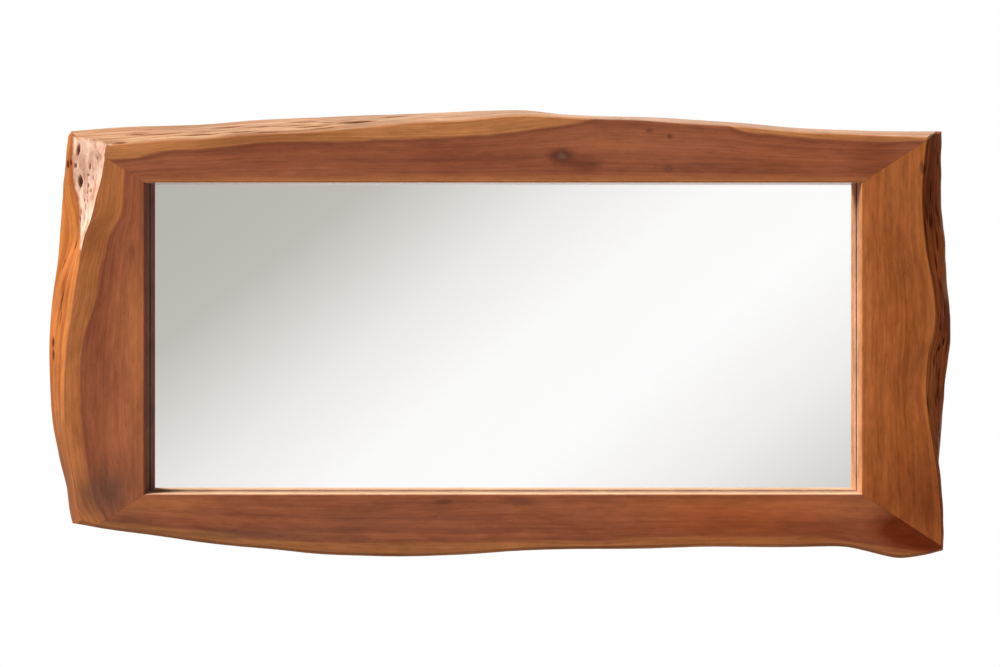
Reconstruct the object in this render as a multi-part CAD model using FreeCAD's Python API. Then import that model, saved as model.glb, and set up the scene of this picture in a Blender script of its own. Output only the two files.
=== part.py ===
# Live-edge wall mirror: four mitred slab-wood members round a recessed pane, hung from two D-rings.
# X runs to the viewer's right, Y from the room towards the wall, Z up, in millimetres.
# The origin is on the wall, behind the middle of the opening.
import FreeCAD, Part
import math
import os

V = FreeCAD.Vector
ALONG_X = V(1, 0, 0)
ALONG_Y = V(0, 1, 0)
ALONG_Z = V(0, 0, 1)

# Frame: each member's width is measured outwards from the opening at its widest place
OPENING_WIDTH = 934.0
OPENING_HEIGHT = 406.0
LEFT_STILE_WIDTH = 138.0
RIGHT_STILE_WIDTH = 128.0
TOP_RAIL_WIDTH = 100.0
BOTTOM_RAIL_WIDTH = 86.0
FRAME_THICKNESS = 45.0
MITRE_ANGLE = 33.0  # degrees from the length of the rails
INNER_ARRIS_RADIUS = 2.0
OUTER_ARRIS_RADIUS = 2.5

# Rebates behind the front lip: a narrow one for the pane, a wide one for the backing board
LIP_DEPTH = 29.0
PANE_REBATE_WIDTH = 10.0
BOARD_REBATE_WIDTH = 25.0

# Pane and backing board
PANE_THICKNESS = 4.0
PANE_CLEARANCE = 1.5
PANE_SEAM = 0.6
BOARD_THICKNESS = 4.0
BOARD_CLEARANCE = 1.0
BOARD_CORNER_RADIUS = 6.0
RAIL_SCREW_COUNT = 5
STILE_SCREW_COUNT = 2

# Dowels across each mitre
DOWEL_DIAMETER = 8.0
DOWEL_LENGTH = 32.0
DOWEL_CHAMFER = 0.8
DOWEL_FIT = 0.1
DOWEL_END_ROOM = 1.0
FIRST_DOWEL_FROM_CORNER = 20.0
DOWEL_PITCH = 24.0

# Hangers: a folded steel strap on each stile, with a swinging D-ring in its loop
HANGER_FROM_OPENING = 73.0  # middle of the strap outwards from the opening
HANGER_BELOW_TOP = 93.0  # ring axis below the opening's upper edge
RING_WIRE_DIAMETER = 4.0
RING_BAR_LENGTH = 18.0
RING_CORNER_RADIUS = 5.0
RING_LEG_LENGTH = 4.0
RING_REST_GAP = 0.3
STRAP_THICKNESS = 1.3
STRAP_WIDTH = 15.0
STRAP_LENGTH = 52.0
LOOP_CLEARANCE = 0.2
UPPER_STRAP_SCREW = 16.0  # below the ring axis
LOWER_STRAP_SCREW = 40.0

# Wall bumpers on the lower ends of the stiles
BUMPER_FROM_OPENING = 73.0
BUMPER_ABOVE_FOOT = 8.0  # above the opening's lower edge
BUMPER_DIAMETER = 18.0
BUMPER_FACE_DIAMETER = 14.0
BUMPER_BEVEL = 1.2

# Pan-head screws
BOARD_SCREW_DIAMETER = 3.5
BOARD_SCREW_LENGTH = 16.0
STRAP_SCREW_DIAMETER = 4.0
STRAP_SCREW_LENGTH = 20.0
HEAD_WIDTH_SHARE = 2.0  # of the shank's diameter
HEAD_HEIGHT_SHARE = 0.62
HEAD_RIM_SHARE = 0.45  # of the head's height, below its bevel
HEAD_FLAT_SHARE = 0.7  # of the head's radius, inside its bevel
TIP_LENGTH_SHARE = 1.1
RECESS_LENGTH_SHARE = 1.05
RECESS_WIDTH_SHARE = 0.24
RECESS_DEPTH_SHARE = 0.35
SCREW_FIT = 0.05
SCREW_CLEARANCE = 0.3
SCREW_END_ROOM = 1.0

CUT_OVERRUN = 5.0

# The live edge, by stations: place along the member, then reach of the front, middle and back of
# the edge. Places are shares of the whole width or height from its left or lower end, and reaches
# are shares of the member's width.
TOP_EDGE_SHARES = (
    (0.10, 0.51, 0.66, 0.77),
    (0.14, 0.545, 0.68, 0.785),
    (0.18, 0.56, 0.70, 0.805),
    (0.22, 0.595, 0.74, 0.845),
    (0.26, 0.62, 0.765, 0.875),
    (0.30, 0.64, 0.79, 0.895),
    (0.34, 0.685, 0.815, 0.915),
    (0.38, 0.73, 0.845, 0.93),
    (0.42, 0.78, 0.88, 0.95),
    (0.46, 0.805, 0.90, 0.97),
    (0.50, 0.85, 0.93, 0.99),
    (0.52, 0.86, 0.94, 0.995),
    (0.56, 0.845, 0.905, 0.945),
    (0.60, 0.825, 0.88, 0.92),
    (0.64, 0.81, 0.865, 0.905),
    (0.70, 0.755, 0.825, 0.875),
    (0.74, 0.73, 0.795, 0.84),
    (0.78, 0.69, 0.76, 0.805),
    (0.82, 0.65, 0.715, 0.76),
    (0.88, 0.625, 0.68, 0.725),
    (0.94, 0.60, 0.665, 0.71),
)
BOTTOM_EDGE_SHARES = (
    (0.07, 0.50, 0.54, 0.57),
    (0.10, 0.56, 0.60, 0.62),
    (0.14, 0.63, 0.67, 0.685),
    (0.18, 0.71, 0.745, 0.76),
    (0.22, 0.775, 0.81, 0.825),
    (0.26, 0.825, 0.865, 0.88),
    (0.30, 0.88, 0.92, 0.935),
    (0.35, 0.91, 0.95, 0.965),
    (0.40, 0.92, 0.96, 0.975),
    (0.44, 0.905, 0.945, 0.96),
    (0.48, 0.875, 0.915, 0.93),
    (0.52, 0.835, 0.875, 0.89),
    (0.58, 0.81, 0.85, 0.87),
    (0.66, 0.795, 0.835, 0.855),
    (0.74, 0.77, 0.815, 0.83),
    (0.82, 0.78, 0.82, 0.835),
    (0.86, 0.765, 0.81, 0.83),
    (0.88, 0.78, 0.82, 0.845),
    (0.90, 0.84, 0.875, 0.895),
    (0.92, 0.91, 0.94, 0.955),
    (0.935, 0.945, 0.98, 1.0),
    (0.95, 0.93, 0.965, 0.985),
    (0.965, 0.895, 0.93, 0.95),
)
LEFT_EDGE_SHARES = (
    (0.12, 0.655, 0.745, 0.805),
    (0.16, 0.68, 0.77, 0.835),
    (0.20, 0.71, 0.81, 0.88),
    (0.24, 0.745, 0.845, 0.915),
    (0.28, 0.765, 0.87, 0.95),
    (0.33, 0.775, 0.89, 0.975),
    (0.38, 0.775, 0.90, 0.985),
    (0.44, 0.76, 0.895, 0.995),
    (0.48, 0.745, 0.89, 0.995),
    (0.52, 0.715, 0.87, 0.985),
    (0.58, 0.68, 0.83, 0.96),
    (0.64, 0.64, 0.765, 0.925),
    (0.68, 0.61, 0.70, 0.905),
    (0.71, 0.57, 0.66, 0.895),
    (0.74, 0.515, 0.65, 0.885),
    (0.77, 0.475, 0.66, 0.875),
    (0.80, 0.445, 0.685, 0.865),
    (0.84, 0.415, 0.71, 0.845),
    (0.88, 0.395, 0.715, 0.83),
)
RIGHT_EDGE_SHARES = (
    (0.06, 0.825, 0.845, 0.86),
    (0.10, 0.82, 0.84, 0.855),
    (0.14, 0.81, 0.84, 0.86),
    (0.18, 0.79, 0.835, 0.87),
    (0.22, 0.765, 0.83, 0.88),
    (0.26, 0.735, 0.83, 0.90),
    (0.30, 0.705, 0.825, 0.915),
    (0.34, 0.68, 0.82, 0.925),
    (0.38, 0.67, 0.825, 0.94),
    (0.42, 0.68, 0.84, 0.96),
    (0.46, 0.70, 0.865, 0.985),
    (0.48, 0.725, 0.885, 1.0),
    (0.50, 0.745, 0.895, 1.0),
    (0.53, 0.765, 0.895, 0.99),
    (0.57, 0.76, 0.885, 0.975),
    (0.61, 0.735, 0.865, 0.96),
    (0.65, 0.70, 0.845, 0.95),
    (0.70, 0.66, 0.82, 0.94),
    (0.74, 0.64, 0.80, 0.925),
    (0.79, 0.63, 0.785, 0.905),
    (0.84, 0.635, 0.785, 0.895),
    (0.88, 0.65, 0.79, 0.895),
)
# Outer corners of the front, middle and back outlines: reach past the opening's corner as shares of
# the stile's and the rail's width
CORNER_SHARES = {
    "top_left": ((0.37, 0.51), (0.68, 0.61), (0.78, 0.715)),
    "top_right": ((0.68, 0.60), (0.81, 0.66), (0.91, 0.705)),
    "bottom_right": ((0.82, 0.825), (0.84, 0.865), (0.86, 0.885)),
    "bottom_left": ((0.615, 0.41), (0.70, 0.48), (0.765, 0.525)),
}
MIDDLE_DEPTH_SHARE = 0.5  # of the frame's thickness

# Places that follow from the sizes
HALF_WIDTH = OPENING_WIDTH / 2
HALF_HEIGHT = OPENING_HEIGHT / 2
WHOLE_WIDTH = LEFT_STILE_WIDTH + OPENING_WIDTH + RIGHT_STILE_WIDTH
WHOLE_HEIGHT = BOTTOM_RAIL_WIDTH + OPENING_HEIGHT + TOP_RAIL_WIDTH
LEFT_END = -HALF_WIDTH - LEFT_STILE_WIDTH
LOWER_END = -HALF_HEIGHT - BOTTOM_RAIL_WIDTH
RING_WIRE_RADIUS = RING_WIRE_DIAMETER / 2
LOOP_INNER_RADIUS = RING_WIRE_RADIUS + LOOP_CLEARANCE
LOOP_OUTER_RADIUS = LOOP_INNER_RADIUS + STRAP_THICKNESS
STRAP_STACK = 2 * STRAP_THICKNESS
STAND_OFF = 2 * LOOP_OUTER_RADIUS  # the bumpers and the strap loops all touch the wall
BACK_Y = -STAND_OFF
FRONT_Y = BACK_Y - FRAME_THICKNESS
LIP_Y = FRONT_Y + LIP_DEPTH
PANE_BACK_Y = LIP_Y + PANE_THICKNESS
BOARD_BACK_Y = PANE_BACK_Y + BOARD_THICKNESS
HANGER_X = HALF_WIDTH + HANGER_FROM_OPENING
RING_AXIS_Y = BACK_Y + LOOP_OUTER_RADIUS
RING_AXIS_Z = HALF_HEIGHT - HANGER_BELOW_TOP
MITRE_REACH = WHOLE_WIDTH  # carries every mitre plane clear of the slab
MIDDLE_Y = FRONT_Y + MIDDLE_DEPTH_SHARE * FRAME_THICKNESS
# Sections of the slab: the depth, the column of the live edge's tables and how far it is drawn in
EDGE_COLUMNS = ("front", "middle", "back")
SECTIONS = (
    (FRONT_Y, "front", OUTER_ARRIS_RADIUS),
    (FRONT_Y + OUTER_ARRIS_RADIUS, "front", 0),
    (MIDDLE_Y, "middle", 0),
    (BACK_Y, "back", 0),
)

# Each side of the frame: whether it is a stile, the sense of outwards, its width and its live edge
SIDES = {
    "top_rail": (False, 1, TOP_RAIL_WIDTH, TOP_EDGE_SHARES),
    "right_stile": (True, 1, RIGHT_STILE_WIDTH, RIGHT_EDGE_SHARES),
    "bottom_rail": (False, -1, BOTTOM_RAIL_WIDTH, BOTTOM_EDGE_SHARES),
    "left_stile": (True, -1, LEFT_STILE_WIDTH, LEFT_EDGE_SHARES),
}
# The outline is walked clockwise: each side with its first and last corner
OUTLINE_WALK = (
    ("top_rail", "top_left", "top_right"),
    ("right_stile", "top_right", "bottom_right"),
    ("bottom_rail", "bottom_right", "bottom_left"),
    ("left_stile", "bottom_left", "top_left"),
)


def corner_senses(corner):
    """Signs of X and Z at a named corner."""
    return (-1 if corner.endswith("left") else 1), (1 if corner.startswith("top") else -1)


def opening_corner(corner, y):
    sense_x, sense_z = corner_senses(corner)
    return V(sense_x * HALF_WIDTH, y, sense_z * HALF_HEIGHT)


def edge_corner(corner, section):
    """Outer corner of the slab on one of its sections."""
    y, column, drawn_in = section
    sense_x, sense_z = corner_senses(corner)
    stile_width = LEFT_STILE_WIDTH if sense_x < 0 else RIGHT_STILE_WIDTH
    rail_width = TOP_RAIL_WIDTH if sense_z > 0 else BOTTOM_RAIL_WIDTH
    stile_share, rail_share = CORNER_SHARES[corner][EDGE_COLUMNS.index(column)]
    reach_x = stile_share * stile_width - drawn_in
    reach_z = rail_share * rail_width - drawn_in
    return opening_corner(corner, y) + V(sense_x * reach_x, 0, sense_z * reach_z)


def edge_station(side, station, section):
    """Point of a side's live edge at one station of its table."""
    y, column, drawn_in = section
    is_stile, sense, width, _ = SIDES[side]
    along_share, *reach_shares = station
    reach = reach_shares[EDGE_COLUMNS.index(column)] * width - drawn_in
    if is_stile:
        return V(sense * (HALF_WIDTH + reach), y, LOWER_END + along_share * WHOLE_HEIGHT)
    return V(LEFT_END + along_share * WHOLE_WIDTH, y, sense * (HALF_HEIGHT + reach))


def side_points(side, first, last, section):
    """Points of one side of a section, from its first corner to its last, walking clockwise."""
    stations = SIDES[side][3]
    if side in ("right_stile", "bottom_rail"):
        stations = tuple(reversed(stations))
    middle = [edge_station(side, station, section) for station in stations]
    return [edge_corner(first, section)] + middle + [edge_corner(last, section)]


def chord_shares(points):
    """Place of each point along its polyline, as a share of the length."""
    lengths = [0.0]
    for before, after in zip(points, points[1:]):
        lengths.append(lengths[-1] + before.distanceToPoint(after))
    return [length / lengths[-1] for length in lengths]


def side_parameters(side, first, last):
    """Spline parameters that every section of a side shares: the mean of their chord shares."""
    shares = [chord_shares(side_points(side, first, last, section)) for section in SECTIONS]
    return [sum(column) / len(column) for column in zip(*shares)]


def outline(section):
    """Closed outline of the slab on one of its sections."""
    edges = []
    for side, first, last in OUTLINE_WALK:
        curve = Part.BSplineCurve()
        points = side_points(side, first, last, section)
        curve.interpolate(Points=points, Parameters=side_parameters(side, first, last))
        edges.append(curve.toShape())
    return Part.Wire(edges)


def polygon(points):
    return Part.Face(Part.makePolygon(points + points[:1]))


def live_edge_slab():
    """The frame's outside as one slab: its edges flare and bulge from the front to the back."""
    return Part.makeLoft([outline(section) for section in SECTIONS], True, False)


def mitre_direction(corner):
    sense_x, sense_z = corner_senses(corner)
    angle = math.radians(MITRE_ANGLE)
    return V(sense_x * math.cos(angle), 0, sense_z * math.sin(angle))


def mitre_wedge(first, last):
    """Everything outwards of one side of the opening, between its two mitre planes."""
    y = FRONT_Y - CUT_OVERRUN
    near_first = opening_corner(first, y)
    near_last = opening_corner(last, y)
    far_first = near_first + mitre_direction(first) * MITRE_REACH
    far_last = near_last + mitre_direction(last) * MITRE_REACH
    face = polygon([near_first, far_first, far_last, near_last])
    return face.extrude(ALONG_Y * (FRAME_THICKNESS + 2 * CUT_OVERRUN))


def inner_edge_point(side, outwards, y):
    """Point at the far lower or left end of a side, a distance outwards from the opening."""
    is_stile, sense, _, _ = SIDES[side]
    if is_stile:
        return V(sense * (HALF_WIDTH + outwards), y, -WHOLE_HEIGHT)
    return V(-WHOLE_WIDTH, y, sense * (HALF_HEIGHT + outwards))


def along_side(side, face):
    is_stile = SIDES[side][0]
    return face.extrude(ALONG_Z * (2 * WHOLE_HEIGHT) if is_stile else ALONG_X * (2 * WHOLE_WIDTH))


def rebate_cut(side):
    """Stepped rebate along a member's inner edge, open to the back."""
    steps = (
        (-CUT_OVERRUN, LIP_Y),
        (PANE_REBATE_WIDTH, LIP_Y),
        (PANE_REBATE_WIDTH, PANE_BACK_Y),
        (BOARD_REBATE_WIDTH, PANE_BACK_Y),
        (BOARD_REBATE_WIDTH, BACK_Y + CUT_OVERRUN),
        (-CUT_OVERRUN, BACK_Y + CUT_OVERRUN),
    )
    return along_side(side, polygon([inner_edge_point(side, u, y) for u, y in steps]))


def arris_cut(side):
    """Waste outside the small round on the front inner edge."""
    radius = INNER_ARRIS_RADIUS
    on_arc = radius * (1 - math.sqrt(0.5))
    tops = (inner_edge_point(side, radius, FRONT_Y), inner_edge_point(side, radius, FRONT_Y - CUT_OVERRUN))
    ends = (inner_edge_point(side, 0, FRONT_Y + radius), inner_edge_point(side, -CUT_OVERRUN, FRONT_Y + radius))
    outer = inner_edge_point(side, -CUT_OVERRUN, FRONT_Y - CUT_OVERRUN)
    arc = Part.Arc(ends[0], inner_edge_point(side, on_arc, FRONT_Y + on_arc), tops[0]).toShape()
    straight = Part.makePolygon([tops[0], tops[1], outer, ends[1], ends[0]])
    return along_side(side, Part.Face(Part.Wire([arc] + straight.Edges)))


def dowel_places(corner):
    """Middle and axis of each dowel across a mitre."""
    along = mitre_direction(corner)
    axis = V(-along.z, 0, along.x)
    start = opening_corner(corner, FRONT_Y + LIP_DEPTH / 2)
    distances = (FIRST_DOWEL_FROM_CORNER, FIRST_DOWEL_FROM_CORNER + DOWEL_PITCH)
    return [(start + along * distance, axis) for distance in distances]


def rod(middle, axis, radius, length):
    return Part.makeCylinder(radius, length, middle - axis * (length / 2), axis)


def dowels(corner):
    pins = [rod(middle, axis, DOWEL_DIAMETER / 2, DOWEL_LENGTH) for middle, axis in dowel_places(corner)]
    rims = [[edge for edge in pin.Edges if edge.Closed] for pin in pins]
    return Part.makeCompound([pin.makeChamfer(DOWEL_CHAMFER, rim) for pin, rim in zip(pins, rims)])


def dowel_bores(corner):
    radius = DOWEL_DIAMETER / 2 + DOWEL_FIT
    length = DOWEL_LENGTH + 2 * DOWEL_END_ROOM
    return [rod(middle, axis, radius, length) for middle, axis in dowel_places(corner)]


def screw(seat, diameter, length):
    """Pan-head screw driven towards the room, its head bearing on the seat point."""
    shank = diameter / 2
    head = shank * HEAD_WIDTH_SHARE
    height = diameter * HEAD_HEIGHT_SHARE
    tip = diameter * TIP_LENGTH_SHARE
    rim = height * HEAD_RIM_SHARE
    flat = head * HEAD_FLAT_SHARE
    profile = polygon([
        V(0, height, 0), V(0, -length, 0), V(shank, tip - length, 0), V(shank, 0, 0),
        V(head, 0, 0), V(head, rim, 0), V(flat, height, 0),
    ])
    body = profile.revolve(V(), ALONG_Y, 360)
    depth = diameter * RECESS_DEPTH_SHARE
    slot_length = diameter * RECESS_LENGTH_SHARE
    slot_width = diameter * RECESS_WIDTH_SHARE
    slots = [
        Part.makeBox(a, depth + CUT_OVERRUN, b, V(-a / 2, height - depth, -b / 2))
        for a, b in ((slot_length, slot_width), (slot_width, slot_length))
    ]
    body = body.cut(slots)
    body.translate(seat)
    return body


def screw_bore(seat, diameter, length):
    """Close hole that a screw's shank sits in, measured from under its head."""
    return Part.makeCylinder(diameter / 2 + SCREW_FIT, length + SCREW_END_ROOM, seat, -ALONG_Y)


def clearance_hole(seat, diameter, depth):
    length = depth + 2 * CUT_OVERRUN
    return Part.makeCylinder(diameter / 2 + SCREW_CLEARANCE, length, seat + ALONG_Y * CUT_OVERRUN, -ALONG_Y)


def board_screw_seats():
    """Seats round the backing board, in the middle of the shoulder that it lies on."""
    outwards = (PANE_REBATE_WIDTH + BOARD_REBATE_WIDTH) / 2
    seats = []
    for count, length, is_stile in (
        (RAIL_SCREW_COUNT, OPENING_WIDTH, False),
        (STILE_SCREW_COUNT, OPENING_HEIGHT, True),
    ):
        for index in range(count):
            along = (index + 0.5) * length / count - length / 2
            for sense in (-1, 1):
                if is_stile:
                    seats.append(V(sense * (HALF_WIDTH + outwards), BOARD_BACK_Y, along))
                else:
                    seats.append(V(along, BOARD_BACK_Y, sense * (HALF_HEIGHT + outwards)))
    return seats


def ring_axis(sense):
    return V(sense * HANGER_X, RING_AXIS_Y, RING_AXIS_Z)


def strap_screw_seats(sense):
    drops = (UPPER_STRAP_SCREW, LOWER_STRAP_SCREW)
    return [V(sense * HANGER_X, BACK_Y + STRAP_STACK, RING_AXIS_Z - drop) for drop in drops]


def frame_bores():
    bores = [bore for corner in CORNER_SHARES for bore in dowel_bores(corner)]
    bores += [screw_bore(seat, BOARD_SCREW_DIAMETER, BOARD_SCREW_LENGTH) for seat in board_screw_seats()]
    for sense in (-1, 1):
        seats = strap_screw_seats(sense)
        bores += [screw_bore(seat, STRAP_SCREW_DIAMETER, STRAP_SCREW_LENGTH) for seat in seats]
    return bores


def frame_members():
    slab = live_edge_slab()
    bores = frame_bores()
    members = {}
    for side, first, last in OUTLINE_WALK:
        blank = slab.common(mitre_wedge(first, last))
        members[side] = blank.cut([rebate_cut(side), arris_cut(side)] + bores)
    return members


def mirror_pane():
    """Silvered pane with seamed edges, standing on the lower rebate."""
    width = OPENING_WIDTH + 2 * (PANE_REBATE_WIDTH - PANE_CLEARANCE)
    height = OPENING_HEIGHT + 2 * (PANE_REBATE_WIDTH - PANE_CLEARANCE)
    corner = V(-width / 2, LIP_Y, -HALF_HEIGHT - PANE_REBATE_WIDTH)
    pane = Part.makeBox(width, PANE_THICKNESS, height, corner)
    return pane.makeChamfer(PANE_SEAM, pane.Edges)


def backing_board():
    reach = 2 * (BOARD_REBATE_WIDTH - BOARD_CLEARANCE)
    width = OPENING_WIDTH + reach
    height = OPENING_HEIGHT + reach
    board = Part.makeBox(width, BOARD_THICKNESS, height, V(-width / 2, PANE_BACK_Y, -height / 2))
    uprights = [edge for edge in board.Edges if edge.BoundBox.YLength > BOARD_THICKNESS / 2]
    board = board.makeFillet(BOARD_CORNER_RADIUS, uprights)
    holes = [clearance_hole(seat, BOARD_SCREW_DIAMETER, BOARD_THICKNESS) for seat in board_screw_seats()]
    return board.cut(holes)


def hanger_strap(sense):
    """Strip folded double round the ring's bar, with a rounded foot and two screw holes."""
    axis = ring_axis(sense)
    start = axis - ALONG_X * (STRAP_WIDTH / 2)
    loop = Part.makeCylinder(LOOP_OUTER_RADIUS, STRAP_WIDTH, start, ALONG_X)
    round_foot = STRAP_WIDTH / 2
    straight = STRAP_LENGTH - round_foot
    foot = V(axis.x, BACK_Y, axis.z - straight)
    leaf = Part.makeBox(STRAP_WIDTH, STRAP_STACK, straight, V(start.x, BACK_Y, foot.z))
    toe = Part.makeCylinder(round_foot, STRAP_STACK, foot, ALONG_Y)
    eye = Part.makeCylinder(LOOP_INNER_RADIUS, STRAP_WIDTH + 2 * CUT_OVERRUN, start - ALONG_X * CUT_OVERRUN, ALONG_X)
    holes = [clearance_hole(seat, STRAP_SCREW_DIAMETER, STRAP_STACK) for seat in strap_screw_seats(sense)]
    return loop.fuse([leaf, toe]).cut([eye] + holes).removeSplitter()


def hanger_ring(sense):
    """D-ring of round wire, leaning back until its bow all but rests on the frame."""
    half_bar = RING_BAR_LENGTH / 2
    half_width = half_bar + RING_CORNER_RADIUS
    leg_top = RING_CORNER_RADIUS + RING_LEG_LENGTH
    reach = leg_top + half_width
    section = Part.Face(Part.Wire(Part.makeCircle(RING_WIRE_RADIUS, V(half_width, 0, leg_top), ALONG_Z)))
    pieces = [
        Part.makeCylinder(RING_WIRE_RADIUS, RING_BAR_LENGTH, V(-half_bar, 0, 0), ALONG_X),
        section.revolve(V(0, 0, leg_top), -ALONG_Y, 180),
    ]
    for side in (-1, 1):
        foot = V(side * half_width, 0, RING_CORNER_RADIUS)
        leg_section = Part.Face(Part.Wire(Part.makeCircle(RING_WIRE_RADIUS, foot, ALONG_Z)))
        turn = leg_section.revolve(V(side * half_bar, 0, RING_CORNER_RADIUS), ALONG_Y * side, 90)
        pieces += [Part.makeCylinder(RING_WIRE_RADIUS, RING_LEG_LENGTH, foot, ALONG_Z), turn]
    ring = pieces[0].fuse(pieces[1:]).removeSplitter()
    lean = math.degrees(math.asin((LOOP_OUTER_RADIUS - RING_WIRE_RADIUS - RING_REST_GAP) / reach))
    ring.rotate(V(), ALONG_X, lean)
    ring.translate(ring_axis(sense))
    return ring


def wall_bumper(sense):
    """Tapered rubber button between the stile and the wall."""
    seat = V(sense * (HALF_WIDTH + BUMPER_FROM_OPENING), BACK_Y, BUMPER_ABOVE_FOOT - HALF_HEIGHT)
    button = Part.makeCone(BUMPER_DIAMETER / 2, BUMPER_FACE_DIAMETER / 2, STAND_OFF, seat, ALONG_Y)
    rim = [edge for edge in button.Edges if edge.Closed and edge.BoundBox.YMin > BACK_Y + STAND_OFF / 2]
    return button.makeChamfer(BUMPER_BEVEL, rim)


def screw_group(seats, diameter, length):
    return Part.makeCompound([screw(seat, diameter, length) for seat in seats])


def whole_mirror():
    nodes = frame_members()
    for corner in CORNER_SHARES:
        nodes["dowels_" + corner] = dowels(corner)
    nodes["mirror_pane"] = mirror_pane()
    nodes["backing_board"] = backing_board()
    nodes["backing_screws"] = screw_group(board_screw_seats(), BOARD_SCREW_DIAMETER, BOARD_SCREW_LENGTH)
    for name, sense in (("left", -1), ("right", 1)):
        nodes["hanger_strap_" + name] = hanger_strap(sense)
        nodes["hanger_ring_" + name] = hanger_ring(sense)
        seats = strap_screw_seats(sense)
        nodes["hanger_screws_" + name] = screw_group(seats, STRAP_SCREW_DIAMETER, STRAP_SCREW_LENGTH)
        nodes["wall_bumper_" + name] = wall_bumper(sense)
    return nodes


os.makedirs("parts", exist_ok=True)
for node, shape in whole_mirror().items():
    shape.exportStep("parts/" + node + ".step")
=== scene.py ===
"""Looks of the live-edge wall mirror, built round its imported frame.

X runs to the viewer's right, Y from the room towards the wall and Z up, in metres. The origin is
on the wall, behind the middle of the opening. A member is the wood of one side of the frame: it is
described by its place along the side, its distance outwards from the opening and its depth.
"""
import math
from collections import namedtuple

import bmesh
import bpy
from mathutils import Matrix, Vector, noise
from mathutils.bvhtree import BVHTree


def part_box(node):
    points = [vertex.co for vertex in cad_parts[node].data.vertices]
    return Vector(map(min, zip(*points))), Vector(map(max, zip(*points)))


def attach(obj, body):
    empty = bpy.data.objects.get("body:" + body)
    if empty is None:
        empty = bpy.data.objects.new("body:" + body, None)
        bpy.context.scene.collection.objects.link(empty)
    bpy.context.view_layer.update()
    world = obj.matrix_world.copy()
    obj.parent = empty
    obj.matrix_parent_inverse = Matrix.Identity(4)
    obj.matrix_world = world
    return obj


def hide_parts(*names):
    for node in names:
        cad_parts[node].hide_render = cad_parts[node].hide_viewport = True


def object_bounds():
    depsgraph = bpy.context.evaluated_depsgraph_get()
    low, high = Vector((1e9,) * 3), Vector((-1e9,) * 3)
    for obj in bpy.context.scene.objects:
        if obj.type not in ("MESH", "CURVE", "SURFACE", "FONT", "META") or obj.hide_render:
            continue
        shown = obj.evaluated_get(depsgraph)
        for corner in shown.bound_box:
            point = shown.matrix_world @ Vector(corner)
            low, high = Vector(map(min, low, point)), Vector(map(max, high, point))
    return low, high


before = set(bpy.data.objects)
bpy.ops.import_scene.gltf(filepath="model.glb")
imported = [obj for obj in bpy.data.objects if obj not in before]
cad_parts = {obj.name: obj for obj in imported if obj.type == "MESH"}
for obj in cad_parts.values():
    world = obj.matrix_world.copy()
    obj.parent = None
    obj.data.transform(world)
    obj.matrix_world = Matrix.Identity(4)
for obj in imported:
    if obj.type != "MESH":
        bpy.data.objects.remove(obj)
CAD_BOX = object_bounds()
MM = 0.001

# The photograph's camera: its optical axis is level and above the middle of the picture
PHOTO_WIDTH = 1000
PHOTO_HEIGHT = 667
AXIS_ROW = 264
FOCAL_PIXELS = 1536
SENSOR_WIDTH = 36.0
CAMERA_PLACE = Vector((-4.2 * MM, -2052 * MM, 97 * MM))

# Studio: one large soft light from the left, above and in front, a weak and wide one from the wall
# side, and an even glow all round
KEY_FROM = Vector((-0.64, -0.41, 0.65))
KEY_ANGLE = math.radians(28)
KEY_STRENGTH = 4.6
FILL_FROM = Vector((0.15, 1.0, 0.25))
FILL_ANGLE = math.radians(80)
FILL_STRENGTH = 1.2
LIGHT_COLOUR = (1.0, 0.985, 0.96)
AMBIENT = 0.27
FLOOR_HALF = 3.6
FLOOR_SEGMENTS = 4
FLOOR_FADE = (1.5, 3.5)  # distances over which it fades out
FLOOR_Z = -1.4
FLOOR_TONES = ((0.66, 0.66, 0.66, 1), (0.69, 0.69, 0.69, 1))
FLOOR_CLOUD_SCALE = 1.5
FLOOR_ROUGHNESS = 0.8
WHITE = (1, 1, 1, 1)
FIRST_BOUNCE = 0.5  # diffuse bounces below this are none
# What the pane and the wax reflect, by slant across the room: a bright upper left, the grey and white
# that cross the pane, and a greyer lower right
ROOM_SLANT = 1.27
ROOM_REACH = 1.6
ROOM_TONES = (
    (-0.75, (255, 255, 255)),
    (-0.45, (200, 198, 192)),
    (-0.30, (183, 180, 173)),
    (-0.15, (193, 190, 184)),
    (-0.02, (238, 236, 234)),
    (0.08, (253, 253, 252)),
    (0.19, (255, 255, 255)),
    (0.30, (240, 239, 237)),
    (0.41, (207, 206, 203)),
    (0.62, (186, 184, 180)),
    (0.90, (164, 161, 156)),
    (1.30, (206, 204, 200)),
)

RIGHT = Vector((1, 0, 0))
TOWARDS_WALL = Vector((0, 1, 0))
UP = Vector((0, 0, 1))

# Depths of the frame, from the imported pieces
FRONT_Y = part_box("top_rail")[0].y
BACK_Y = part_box("top_rail")[1].y
LIP_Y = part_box("mirror_pane")[0].y
PANE_BACK_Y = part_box("mirror_pane")[1].y
BOARD_BACK_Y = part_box("backing_board")[1].y
THICKNESS = BACK_Y - FRONT_Y

SHARP_ANGLE = math.radians(38)

# Shape of a member's section
MITRE_ANGLE = math.radians(33)
INNER_ARRIS = 2.0 * MM
MITRE_NICK = 0.25 * MM
ARRIS_WALL_POWER = 4  # how soon the inner arris takes the front's colour
PLANED_WAVE = 0.12 * MM
PLANED_WAVE_SIZE = (60, 25)  # millimetres along and outwards
MERGE_GAP = 0.001 * MM
FAR_OUT = 400 * MM  # beyond any member's reach
RAIL_COLUMNS = 720
STILE_COLUMNS = 500
COLUMN_CROWDING = 0.4
END_COLUMN_SHARE = 0.0004
ARRIS_ROWS = 4
FRONT_ROWS = 20
LIVE_ROWS = 48
BACK_ROWS = 12
WALL_ROWS = 8
STEP_ROWS = 3
EDGE_DEPTHS = (0.0, 0.1 * MM, 0.4 * MM, 0.9 * MM, 1.6 * MM, 2.5 * MM, 3.6 * MM)

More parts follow.
